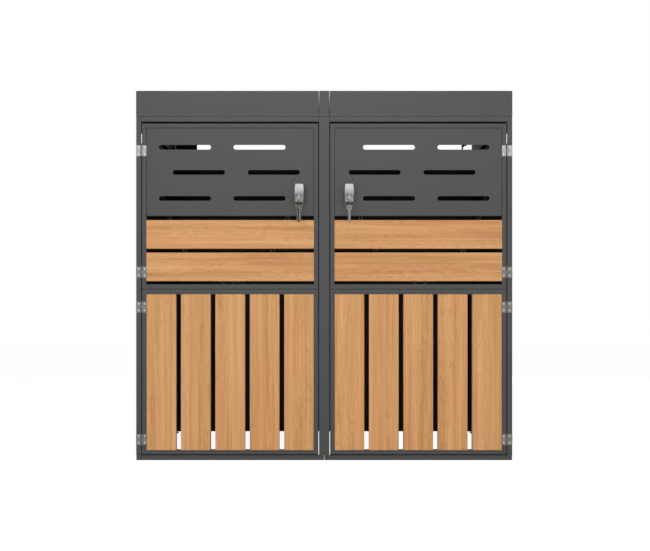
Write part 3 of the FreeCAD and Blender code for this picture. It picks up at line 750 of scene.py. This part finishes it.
def side_panels():
    """Side sheets folded round the side frames at front and back, each with a hand hole."""
    low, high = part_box("right_side_panel")
    sheet = block("side_panel", low, high)
    with Editing(sheet) as edit:
        edit.pick(lambda face: abs(face.normal.z) > SQUARELY or face.normal.x < -SQUARELY)
        bpy.ops.mesh.delete(type="FACE")
    rolled(sheet, FOLD, 5, lambda edge: at(edge, X, high.x) and runs(edge, Z))
    shaped(sheet, "SOLIDIFY", thickness=SHEET, offset=-1)
    start = (high.x - 4 * SHEET, FRONT + HAND_HOLE_BACK, HAND_HOLE_HEIGHT)
    through = RIGHT * 8 * SHEET
    carved(sheet, obround("hand_hole", HAND_HOLE_RADIUS, HAND_HOLE_LENGTH, start, through, BACK))
    on_both_sides(eased(sheet, CUT_EDGE, 2, 50), "side_panel", "folded")


def corner_plates():
    """Plates on the rear top rails that close the ends of the opening under each lid."""
    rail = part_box("right_rear_top_rail")
    top = rail[1].z + CORNER_PLATE_TALL
    for side, spans in CORNER_PLATES.items():
        pieces = []
        for start, end in spans:
            low = Vector((start, rail[0].y, rail[1].z))
            plate = block("plate", low, (end, low.y + SHEET, top))
            rolled(plate, CORNER_PLATE_ROUND, 4, lambda edge: at(edge, Z, top) and runs(edge, Y))
            foot = block("foot", low, (end, low.y + 10 * SHEET, low.z + SHEET))
            pieces += [eased(plate, FINE_EDGE, 2, 50), eased(foot, CUT_EDGE)]
        finished(joined("plate", pieces), f"{side}_rear_top_rail", "corner_plate", stands_for=False)


def tube_frame(node, low_rail, high_rail):
    """A door frame of flat tubes, mitred and welded at the corners, with two heights of rail."""
    low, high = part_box(node)
    middle = (low + high) / 2
    bpy.ops.mesh.primitive_plane_add(size=1, location=(middle.x, low.y, middle.z),
                                     rotation=(math.pi / 2, 0, 0))
    bpy.context.object.scale = (high.x - low.x, high.z - low.z, 1)
    tubes = settle(node)
    with Editing(tubes):
        bpy.ops.mesh.inset(thickness=TUBE, use_boundary=True)
        bpy.ops.mesh.delete(type="FACE")
    for level, extra in ((low.z + TUBE, low_rail - TUBE), (high.z - TUBE, TUBE - high_rail)):
        drawn(tubes, UP * extra, lambda point: abs(point.co.z - level) < MM)
    with Editing(tubes):
        bpy.ops.mesh.edge_split(type="EDGE")
    shaped(tubes, "SOLIDIFY", thickness=high.y - low.y, offset=-1)
    rolled(tubes, TUBE_ROUND, 3, lambda edge: runs(edge, X, 2 * TUBE) or runs(edge, Z, 2 * TUBE))
    eased(tubes, WELD_SEAM, 1, 50)
    return finished(tubes, node, "tubes")


def slotted_sheet(side):
    """Tray of sheet steel with a turned-back rim, rows of slots and a hole for the spindle."""
    node = f"{side}_slotted_sheet"
    low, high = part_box(node)
    tray = block(node, low, high)
    with Editing(tray) as edit:
        edit.pick(lambda face: face.normal.y > SQUARELY)
        bpy.ops.mesh.delete(type="ONLY_FACE")
    rolled(tray, 1.5 * SHEET, 4, lambda edge: at(edge, Y, low.y))
    shaped(tray, "SOLIDIFY", thickness=SHEET, offset=-1)
    sign = -1 if side == "left" else 1
    through = BACK * 4 * SHEET
    start = low.y - SHEET
    for height, *middles in SLOT_ROWS:
        for middle in middles:
            place = Vector((sign * middle, start, height))
            carved(tray, obround("slot", SLOT_TALL / 2, SLOT_LENGTH, place, through, RIGHT))
    place = Vector((sign * HANDLE_X, start, HANDLE_Z))
    carved(tray, bar("hole", SPINDLE_HOLE, place, place + through))
    return finished(eased(tray, KEEN_EDGE, 2, 50), node, "tray")


# Boards

def marked(piece, name, value):
    """Writes one number on every point of a piece, for its material to read."""
    attribute = piece.data.attributes.new(name, "FLOAT", "POINT")
    for item in attribute.data:
        item.value = value
    return piece


def board(name, low, high, along, number):
    """A planed board with its front edges rounded over."""
    piece = block(name, low, high)
    rolled(piece, BOARD_ROUND, 4, lambda edge: at(edge, Y, low.y) and runs(edge, along))
    eased(piece, CUT_EDGE, 2, 50)
    across = Z - along
    marked(piece, "board", math.modf(number * BOARD_STEP)[0])
    return marked(piece, "middle", (low[across] + high[across]) / 2)


def upright_places(low, high):
    """Left sides of the upright boards that fill a box."""
    step = (high.x - low.x - UPRIGHT_WIDTH) / (UPRIGHT_BOARDS - 1)
    return [low.x + count * step for count in range(UPRIGHT_BOARDS)]


def boards(side, count):
    """A door's flat and upright boards, counted on from a number that gives each its own grain."""
    node = f"{side}_flat_boards"
    low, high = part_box(node)
    pieces = []
    for step, bottom in enumerate((low.z, high.z - FLAT_BOARD_HEIGHT)):
        pieces.append(board("flat", Vector((low.x, low.y, bottom)),
                            Vector((high.x, high.y, bottom + FLAT_BOARD_HEIGHT)), X, count + step))
    finished(joined(node, pieces), node, "planed", "flat_boards")
    node = f"{side}_upright_boards"
    low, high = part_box(node)
    pieces = []
    for step, left in enumerate(upright_places(low, high)):
        pieces.append(board("upright", Vector((left, low.y, low.z)),
                            Vector((left + UPRIGHT_WIDTH, high.y, high.z)), Z, count + 2 + step))
    finished(joined(node, pieces), node, "planed", "upright_boards")


# Fasteners

def cross_screw(name, radius, tall, place, out):
    """A screw head with a cross recess, standing out along a direction."""
    place = Vector(place)
    head = bar(name, radius, place - out * tall, place, sides=20)
    rolled(head, tall * 0.7, 4, lambda face: face.normal.dot(out) > SQUARELY, "FACE")
    across = out.orthogonal().normalized()
    over = out.cross(across)
    for long_way, short_way in ((across, over), (over, across)):
        tool = block("recess", (-1, -1, -1), (1, 1, 1))
        half_sizes = (long_way * radius * 0.6, short_way * radius * 0.13, out * tall * 0.6)
        tool.data.transform(Matrix.Translation(place + out * tall * 0.15)
                            @ Matrix(half_sizes).transposed().to_4x4())
        carved(head, outward(tool))
    return head


# Door hinges

def hinge_leaf(name, side, own, other):
    """One leaf at the height of zero: plate, countersunk holes and its own knuckles."""
    near = HINGE_AXIS + side * HINGE_GAP
    far = HINGE_AXIS + side * LEAF_REACH
    half = HINGE_TALL / 2
    low_x, high_x = sorted((near, far))
    plate = block(name, (low_x, FRONT - LEAF_THICK, -half), (high_x, FRONT, half))
    rolled(plate, LEAF_CORNER, 4, lambda edge: at(edge, X, far) and runs(edge, Y))
    low_x, high_x = sorted((near - side * MM, HINGE_AXIS + side * (KNUCKLE + KNUCKLE_PLAY)))
    for start, end in other:
        carved(plate, block("notch", (low_x, FRONT - 5 * MM, start - half - HINGE_GAP),
                            (high_x, FRONT + MM, end - half + HINGE_GAP)))
    over, up = POST_SCREWS if side > 0 else DOOR_SCREWS
    places = [Vector((HINGE_AXIS + side * over, FRONT - LEAF_THICK, way * up)) for way in (-1, 1)]
    wide, narrow, deep = SINK
    for place in places:
        carved(plate, bar("sink", wide, place - BACK * 0.1 * MM, place + BACK * deep, 24, narrow))
    pieces = [eased(plate, FOLDED_EDGE, 3, 40)]
    foot = Vector((HINGE_AXIS, FRONT - HINGE_FORWARD, -half))
    for start, end in own:
        barrel = bar("knuckle", KNUCKLE, foot + UP * start, foot + UP * end, 28)
        pieces.append(eased(barrel, TURNED_EDGE, 2, 40))
    radius, tall, sunk = HINGE_SCREW
    for place in places:
        screw = cross_screw("screw", radius, tall, place - BACK * sunk, -BACK)
        # The screw heads get a painted highlight, a light colour for the glints they catch
        pieces.append(marked(screw, "painted_highlight", 1.0))
    return joined(name, pieces)


def door_hinges():
    """Butt hinges: post leaves with the pin on the carcass, door leaves on the doors."""
    third = HINGE_TALL / 3
    outer = ((0, third), (2 * third, HINGE_TALL))
    inner = ((third + HINGE_GAP, 2 * third - HINGE_GAP),)
    middle = Vector((HINGE_AXIS, FRONT - HINGE_FORWARD, 0))
    half = UP * HINGE_TALL / 2
    pin = bar("pin", HINGE_PIN, middle - half, middle + half, 20)
    post = [hinge_leaf("post_leaf", 1, outer, inner), pin]
    places = [UP * height for height in HINGE_HEIGHTS]
    posts = repeated(joined("post_leaf", post), places)
    doors = repeated(hinge_leaf("door_leaf", -1, inner, outer), places)
    finished(joined("post_leaves", [posts, mirrored(posts)]), "post_hinge_leaves", "screwed")
    on_both_sides(doors, "door_hinge_leaves", "screwed")


# Handle, lock and keys

def on_handle(name, radius, start, end, height=HANDLE_Z, sides=32, far_radius=None):
    """A round bar square to the door on the handle's middle line, from one depth to another."""
    return bar(name, radius, (HANDLE_X, start, height), (HANDLE_X, end, height), sides, far_radius)


def handle():
    """Turning handle: a bellied bar with soft edges on a round neck, and the spindle behind it."""
    face = FRONT - BAR_FRONT
    back = FRONT - BAR_BACK
    middle = (BAR_LOW + BAR_HIGH) / 2
    half = (BAR_HIGH - BAR_LOW) / 2
    grip = block("handle", (HANDLE_X - BAR_END / 2, face, BAR_LOW),
                 (HANDLE_X + BAR_END / 2, back, BAR_HIGH))
    with Editing(grip, "EDGE") as edit:
        edit.pick(lambda edge: runs(edge, Z, half))
        bpy.ops.mesh.subdivide(number_cuts=19)
    for point in grip.data.vertices:
        height = (point.co.z - middle) / half
        belly = 1 + (BAR_MIDDLE / BAR_END - 1) * (1 - height ** 2)
        point.co.x = HANDLE_X + (point.co.x - HANDLE_X) * belly
        if point.co.y < face + MM:
            point.co.y += BAR_CROWN[height < 0] * height ** 2
    eased(grip, BAR_ROUND, 5, 55)
    pocket = block("pocket", (HANDLE_X - POCKET[0], face - MM, KEY_Z - POCKET[1]),
                   (HANDLE_X + POCKET[0], face + POCKET_DEEP, KEY_Z + POCKET[2]))
    rolled(pocket, POCKET_ROUND, 4, lambda edge: runs(edge, Y))
    carved(grip, pocket, on_handle("bore", PLUG + PLUG_PLAY, face - MM, back, KEY_Z, 48))
    eased(grip, FINE_EDGE, 2, 60)
    neck = on_handle("neck", NECK, back - MM, FRONT - NECK_GAP, sides=40)
    rolled(neck, NECK_ROUND, 3, lambda face: face.normal.y > SQUARELY, "FACE")
    spindle = on_handle("spindle", SPINDLE, FRONT - 2 * MM, FRONT + SPINDLE_END)
    square = block("square", (HANDLE_X - SQUARE, FRONT + SQUARE_RUN[0], HANDLE_Z - SQUARE),
                   (HANDLE_X + SQUARE, FRONT + SQUARE_RUN[1], HANDLE_Z + SQUARE))
    return joined("handle", [grip, neck, spindle, square])


def rosette():
    """Round plate with a tapered rim under the handle's neck."""
    plate = on_handle("rosette", ROSETTE[0], FRONT + 2 * MM, FRONT - MM, sides=56, far_radius=ROSETTE[1])
    eased(plate, FOLDED_EDGE, 3, 30)
    return carved(plate, on_handle("hole", ROSETTE_BORE, FRONT + 3 * MM, FRONT - 2 * MM))


def lock_plug():
    """Plug face with a raised rim and its keyway."""
    face = FRONT - BAR_FRONT - 2 * MM
    plug = on_handle("plug", PLUG, FRONT - BAR_BACK + 0.8 * MM, face, KEY_Z, 48)
    with Editing(plug) as edit:
        edit.pick(lambda side: side.normal.y < -SQUARELY)
        bpy.ops.mesh.inset(thickness=PLUG_RIM)
        bpy.ops.transform.translate(value=BACK * PLUG_DISH)
    eased(plug, TURNED_EDGE, 2, 40)
    half = KEY_THICK / 2 + KEY_PLAY
    tall = KEY_BLADE + KEY_PLAY
    return carved(plug, block("keyway", (HANDLE_X - half, face - MM, KEY_Z - tall),
                              (HANDLE_X + half, face + 8 * MM, KEY_Z + tall)))


def key():
    """The key in the lock, seen edge on: a round bow with a slot, and the blade."""
    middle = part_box("right_key")[0].y + BOW
    half = KEY_THICK / 2
    bow = bar("bow", BOW, (HANDLE_X - half, middle, KEY_Z), (HANDLE_X + half, middle, KEY_Z), 48)
    start = (HANDLE_X - 5 * MM, middle - 3 * MM, KEY_Z)
    carved(bow, obround("slot", BOW_SLOT[0], BOW_SLOT[1], start, RIGHT * 10 * MM, UP))
    # The bow gets a painted highlight, a light colour for the glint it catches
    marked(eased(bow, BOW_EDGE, 3, 40), "painted_highlight", 0.8)
    half *= BLADE_SHARE
    blade = block("blade", (HANDLE_X - half, middle + 8 * MM, KEY_Z - KEY_BLADE),
                  (HANDLE_X + half, FRONT - BAR_BACK - 2 * MM, KEY_Z + KEY_BLADE))
    return joined("key", [bow, eased(blade, FINE_EDGE)])


def split_ring():
    """Key ring of two turns of wire pressed together."""
    low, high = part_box("right_key_ring")
    wire = (high.y - low.y) / 4
    radius = (high.z - low.z) / 2 - wire
    bpy.ops.mesh.primitive_circle_add(vertices=10, radius=wire, fill_type="NGON",
                                      location=(radius, 0, -wire), rotation=(math.pi / 2, 0, 0))
    ring = settle("ring")
    shaped(ring, "SCREW", axis="Z", angle=2 * math.pi, iterations=2, screw_offset=2 * wire,
           steps=40, render_steps=40)
    with Editing(ring, "VERT"):
        bpy.ops.mesh.remove_doubles(threshold=MERGE)
    outward(ring)
    ring.data.transform(Matrix.Translation((low + high) / 2) @ Matrix.Rotation(math.pi / 2, 4, "X"))
    return ring


def spare_key(offset, twist):
    """A cut key hanging from the ring, turned a little about the vertical."""
    low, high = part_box("right_key_ring")
    rest = low.z + (high.y - low.y) / 2 + offset ** 2 / (2 * RING_RADIUS)
    middle = Vector((HANDLE_X + offset, (low.y + high.y) / 2, rest - SPARE_HANG))
    half = KEY_THICK / 2
    bow_middle = middle - UP * MM
    bow = bar("bow", SPARE_BOW, bow_middle - RIGHT * half, bow_middle + RIGHT * half, 36)
    carved(bow, bar("hole", SPARE_HOLE, middle - RIGHT * 5 * MM, middle + RIGHT * 5 * MM, 28))
    eased(bow, CUT_EDGE, 2, 40)
    tip = middle.z - SPARE_LENGTH
    thin = half * BLADE_SHARE
    front = middle.y - SPARE_BLADE
    blade = block("blade", (middle.x - thin, front, tip),
                  (middle.x + thin, middle.y + SPARE_BLADE, middle.z - SPARE_BLADE_TOP))
    rolled(blade, SPARE_POINT, 2, lambda edge: at(edge, Z, tip) and runs(edge, X))
    for step, deep in enumerate(SPARE_CUTS):
        tool = block("cut", (-5 * MM, -CUT_TOOL, -CUT_TOOL), (5 * MM, CUT_TOOL, CUT_TOOL))
        place = (middle.x, front - CUT_TOOL_CORNER + deep, tip + CUT_START + step * CUT_APART)
        tool.data.transform(Matrix.Translation(place) @ Matrix.Rotation(math.pi / 4, 4, "X"))
        carved(blade, tool)
    groove = block("groove", (middle.x + half * 0.5, middle.y - 0.2 * MM, tip - MM),
                   (middle.x + half * 2, middle.y + MM, middle.z - SPARE_GROOVE_TOP))
    eased(carved(blade, groove), KEEN_EDGE, 1, 40)
    return turned(joined("spare_key", [bow, blade]), twist, "Z", middle)


def locks():
    """Handles, lock plugs, keys and rings on both doors."""
    for maker, name, word in ((handle, "handle", "cast"), (rosette, "handle_rosette", "turned"),
                              (lock_plug, "lock_plug", "turned"), (key, "key", "pressed"),
                              (split_ring, "key_ring", "wound")):
        on_both_sides(maker(), name, word)
    finished(spare_key(0, SPARE_TWIST[0]), "right_spare_key", "cut")
    pair = [spare_key(offset, SPARE_TWIST[1]) for offset in (-SPARE_APART, SPARE_APART)]
    pair = joined("spare_keys", pair)
    left = mirrored(pair)
    bpy.data.objects.remove(pair)
    finished(left, "left_spare_keys", "cut")


# Chains

def chain_joints():
    """Points where the links meet, along a catenary between the two eyes."""
    eyes_low, eyes_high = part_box("right_chain_eyes")
    chain_low, chain_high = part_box("right_chain")
    inset = EYE_RADIUS + EYE_WIRE
    half_span = (eyes_high.x - eyes_low.x) / 2 - inset
    centre = (eyes_high.x + eyes_low.x) / 2
    top = eyes_low.z + EYE_WIRE + LINK_WIRE
    bottom = chain_low.z + LINK_INSIDE / 2 + 2 * LINK_WIRE
    near, far = 0.02, 0.4
    for _ in range(60):
        scale = (near + far) / 2
        if scale * (math.cosh(half_span / scale) - 1) > top - bottom:
            near = scale
        else:
            far = scale
    length = 2 * scale * math.sinh(half_span / scale)
    pitch = length / LINKS
    back = (chain_low.y + chain_high.y) / 2
    joints = []
    for count in range(LINKS + 1):
        along = scale * math.asinh((count * pitch - length / 2) / scale)
        joints.append(Vector((centre + along, back, bottom + scale * (math.cosh(along / scale) - 1))))
    return joints, pitch


def chain():
    """Welded round links, each square to the next."""
    joints, pitch = chain_joints()
    half_width = LINK_INSIDE / 2 + LINK_WIRE
    link = hoop("link", half_width, LINK_WIRE, (0, 0, 0), UP, 16, 8)
    reach = (pitch + LINK_PLAY) / 2 + LINK_WIRE - half_width
    for side in (1, -1):
        drawn(link, RIGHT * side * reach, lambda point: point.co.x * side > 0.1 * MM)
    links = []
    for count, (start, end) in enumerate(zip(joints, joints[1:])):
        ahead = (end - start).normalized()
        normal = BACK if count % 2 else ahead.cross(BACK)
        copy = copied(link)
        turn = Matrix((ahead, normal.cross(ahead), normal)).transposed().to_4x4()
        copy.data.transform(Matrix.Translation((start + end) / 2) @ turn)
        links.append(copy)
    bpy.data.objects.remove(link)
    return joined("chain", links)


def chain_eye(place, top):
    """Eye bolt: a round eye, its stud and the nut under the stiffener."""
    centre = place + UP * (EYE_RADIUS - LINK_WIRE)
    end = Vector((place.x, place.y, top))
    eye = hoop("eye", EYE_RADIUS, EYE_WIRE, centre, BACK, 32, 10)
    stud = bar("stud", EYE_STUD, centre + UP * EYE_RADIUS, end, 20)
    nut = bar("nut", EYE_NUT[0], end - UP * EYE_NUT[1], end, 6)
    return joined("eye", [eye, stud, eased(nut, FINE_EDGE)])


def chains():
    """A chain and its eyes under each lid."""
    on_both_sides(chain(), "chain", "welded", smooth=80)
    joints, _ = chain_joints()
    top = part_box("right_chain_eyes")[1].z
    eyes = joined("eyes", [chain_eye(place, top) for place in (joints[0], joints[-1])])
    on_both_sides(eyes, "chain_eyes", "bent")


# Lid hinges and buffers

def on_lid_pin(name, radius, start, end, sides=36):
    """A round bar along the axis of the lid hinges."""
    back = REAR - LID_PIN_INSET
    return bar(name, radius, (start, back, LID_PIN_HEIGHT), (end, back, LID_PIN_HEIGHT), sides)


def lid_hinges():
    """Brackets with pins on the rear rails, and the ears of the lids that turn on them."""
    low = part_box("lid_hinge_brackets")[0].z
    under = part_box("right_lid_hinge_ears")[1].z
    back = REAR - LID_PIN_INSET
    brackets = []
    ears = []
    for start in BRACKET_STARTS:
        wide, before, behind, thick = FOOT
        foot = block("foot", (start, back - before, low), (start + wide, back + behind, low + thick))
        for over in FOOT_HOLES:
            place = Vector((start + over, back - before / 2, low - MM))
            carved(foot, bar("hole", FOOT_HOLE, place, place + UP * 5 * MM, 16))
        thick, before, behind = BRACKET
        plate = block("plate", (start, back - before, low + SHEET),
                      (start + thick, back + behind, LID_PIN_HEIGHT))
        boss = on_lid_pin("boss", BOSS, start, start + thick)
        pin = on_lid_pin("pin", LID_PIN[0], start, start + LID_PIN[1], 32)
        radius, wire, over = PIN_CLIP
        clip = hoop("clip", radius, wire, (start + over, back, LID_PIN_HEIGHT), RIGHT, 28, 8)
        brackets += [eased(foot, CUT_EDGE), eased(plate, CUT_EDGE), eased(boss, CUT_EDGE),
                     eased(pin, FOLDED_EDGE), clip]
        ear = start + EAR_ASIDE
        end = ear + EAR_THICK
        wide, before, behind, thick = FLANGE
        flange = block("flange", (ear, back - before, under - thick), (ear + wide, back + behind, under))
        web = block("web", (ear, back - EAR_RADIUS, LID_PIN_HEIGHT),
                    (end, back + EAR_RADIUS, under - 2.5 * MM))
        eye = on_lid_pin("eye", EAR_RADIUS, ear, end)
        for part in (eye, web):
            carved(part, on_lid_pin("bore", EAR_BORE, ear - MM, end + MM, 32))
        ears += [eased(flange, CUT_EDGE), eased(web, FINE_EDGE), eased(eye, CUT_EDGE)]
    right = joined("brackets", brackets)
    finished(joined("brackets", [right, mirrored(right)]), "lid_hinge_brackets", "pressed")
    on_both_sides(joined("ears", ears), "lid_hinge_ears", "pressed")


def lid_buffers():
    """Rubber buffers that taper to a rounded crown."""
    low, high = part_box("lid_buffers")
    pads = []
    for x in BUFFER_PLACES:
        for side in (-1, 1):
            foot = Vector((side * x, (low.y + high.y) / 2, low.z))
            pad = bar("pad", BUFFER[0], foot, foot + UP * (high.z - low.z), 32, BUFFER[1])
            pads.append(eased(pad, BUFFER_ROUND, 4))
    finished(joined("pads", pads), "lid_buffers", "moulded")


def small_fixings():
    """Screws in the board tabs and rivets along the rear panels."""
    for side in SIDES:
        node = f"{side}_board_cleats"
        places = cleat_screw_places(side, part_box(node)[1].y + TAB_SCREW_PROUD)
        screw = cross_screw("tab_screw", TAB_SCREW[0], TAB_SCREW[1], (0, 0, 0), BACK)
        finished(repeated(screw, places), node, "screws", "zinc", stands_for=False)
        node = f"{side}_rear_panel"
        low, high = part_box(node)
        aside, under, over = RIVET_INSETS
        step = (high.z - low.z - under - over) / (RIVET_ROWS - 1)
        places = [Vector((x, high.y - RIVET_SUNK, low.z + under + row * step))
                  for x in (low.x + aside, high.x - aside) for row in range(RIVET_ROWS)]
        foot, top, tall = RIVET
        rivet = eased(bar("rivet", foot, (0, 0, 0), BACK * tall, 16, top), FOLDED_EDGE, 3, 20)
        finished(repeated(rivet, places), node, "rivets", stands_for=False)


def cleat_screw_places(side, back):
    """Two screws in each tab, along the tab."""
    low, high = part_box("right_upright_boards")
    spots = [(left + UPRIGHT_WIDTH / 2 + way * TAB_SCREW_ASIDE, height)
             for left in upright_places(low, high)
             for height in (low.z + TAB_SCREW_INSET, high.z - TAB_SCREW_INSET) for way in (-1, 1)]
    low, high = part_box("right_flat_boards")
    spots += [(x, bottom + FLAT_BOARD_HEIGHT / 2 + way * TAB_SCREW_ASIDE)
              for bottom in (low.z, high.z - FLAT_BOARD_HEIGHT)
              for x in (low.x + TAB_SCREW_INSET, high.x - TAB_SCREW_INSET) for way in (-1, 1)]
    sign = -1 if side == "left" else 1
    return [Vector((sign * x, back, z)) for x, z in spots]


# Stage

def floor_and_sky():
    """A pale floor and a white surround, seen as white and lit softly."""
    bpy.ops.mesh.primitive_plane_add(size=FLOOR_SIZE, location=(0, 0, -FLOOR_DROP))
    floor = bpy.context.object
    floor.name = "floor"
    material = bpy.data.materials.new("pale_floor")
    start = emptied(material)
    seen = seen_rays(start, "Is Camera Ray", "Is Transmission Ray")
    diffuse = start.node("BsdfDiffuse", {}, {"Color": FLOOR_GREY})
    white = start.node("Emission", {}, {"Color": WHITE, "Strength": FLOOR_WHITE})
    output(start, "Material", start.node("MixShader", {}, {0: seen * FLOOR_SHARE, 1: diffuse, 2: white}))
    floor.data.materials.append(material)
    world = bpy.data.worlds.new("studio")
    bpy.context.scene.world = world
    start = emptied(world)
    strength = WORLD_LIGHT + seen_rays(start, "Is Camera Ray", "Is Transmission Ray") * (1 - WORLD_LIGHT)
    strength = strength + seen_rays(start, "Is Glossy Ray") * WORLD_SHINE
    output(start, "World", start.node("Background", {}, {"Color": WHITE, "Strength": strength}))


def emptied(owner):
    """The node tree of a material or a world, with nothing in it."""
    owner.use_nodes = True
    owner.node_tree.nodes.clear()
    return Shade(owner.node_tree)


def output(start, kind, surface):
    """Links a surface to a new output node."""
    made = start.tree.nodes.new("ShaderNodeOutput" + kind)
    start.tree.links.new(surface.socket, made.inputs["Surface"])


def seen_rays(start, *kinds):
    """1 for rays of the kinds that are named, 0 for others."""
    outputs = start.node("LightPath", {}, {}).socket.node.outputs
    return start.math("MINIMUM", sum(Shade(start.tree, outputs[kind]) for kind in kinds), 1.0)


def studio():
    """Soft rectangular lamps, and the camera."""
    for name, (power, size, place, target, glossy) in LAMPS.items():
        light = bpy.data.lights.new(name, "AREA")
        light.energy = power
        light.shape = "RECTANGLE"
        light.size, light.size_y = size
        lamp = linked(name, light)
        lamp.location = place
        lamp.rotation_euler = (Vector(target) - Vector(place)).to_track_quat("-Z", "Y").to_euler()
        lamp.visible_glossy = glossy
    camera = bpy.data.cameras.new("camera")
    camera.sensor_width = SENSOR
    camera.lens = LENS
    camera.shift_x, camera.shift_y = LENS_SHIFT
    viewer = linked("camera", camera)
    viewer.location = (0, FRONT - EYE_DISTANCE, EYE_HEIGHT)
    viewer.rotation_euler = (math.pi / 2, 0, 0)
    bpy.context.scene.camera = viewer
    bpy.context.scene.view_settings.view_transform = "Standard"


carcass()
side_panels()
corner_plates()
for side in SIDES:
    tube_frame(f"{side}_upper_door_frame", MID_RAIL, TUBE)
    tube_frame(f"{side}_lower_door_frame", TUBE, MID_RAIL)
    slotted_sheet(side)
boards("left", 1)
boards("right", 11)
door_hinges()
locks()
chains()
lid_hinges()
lid_buffers()
small_fixings()
floor_and_sky()
studio()
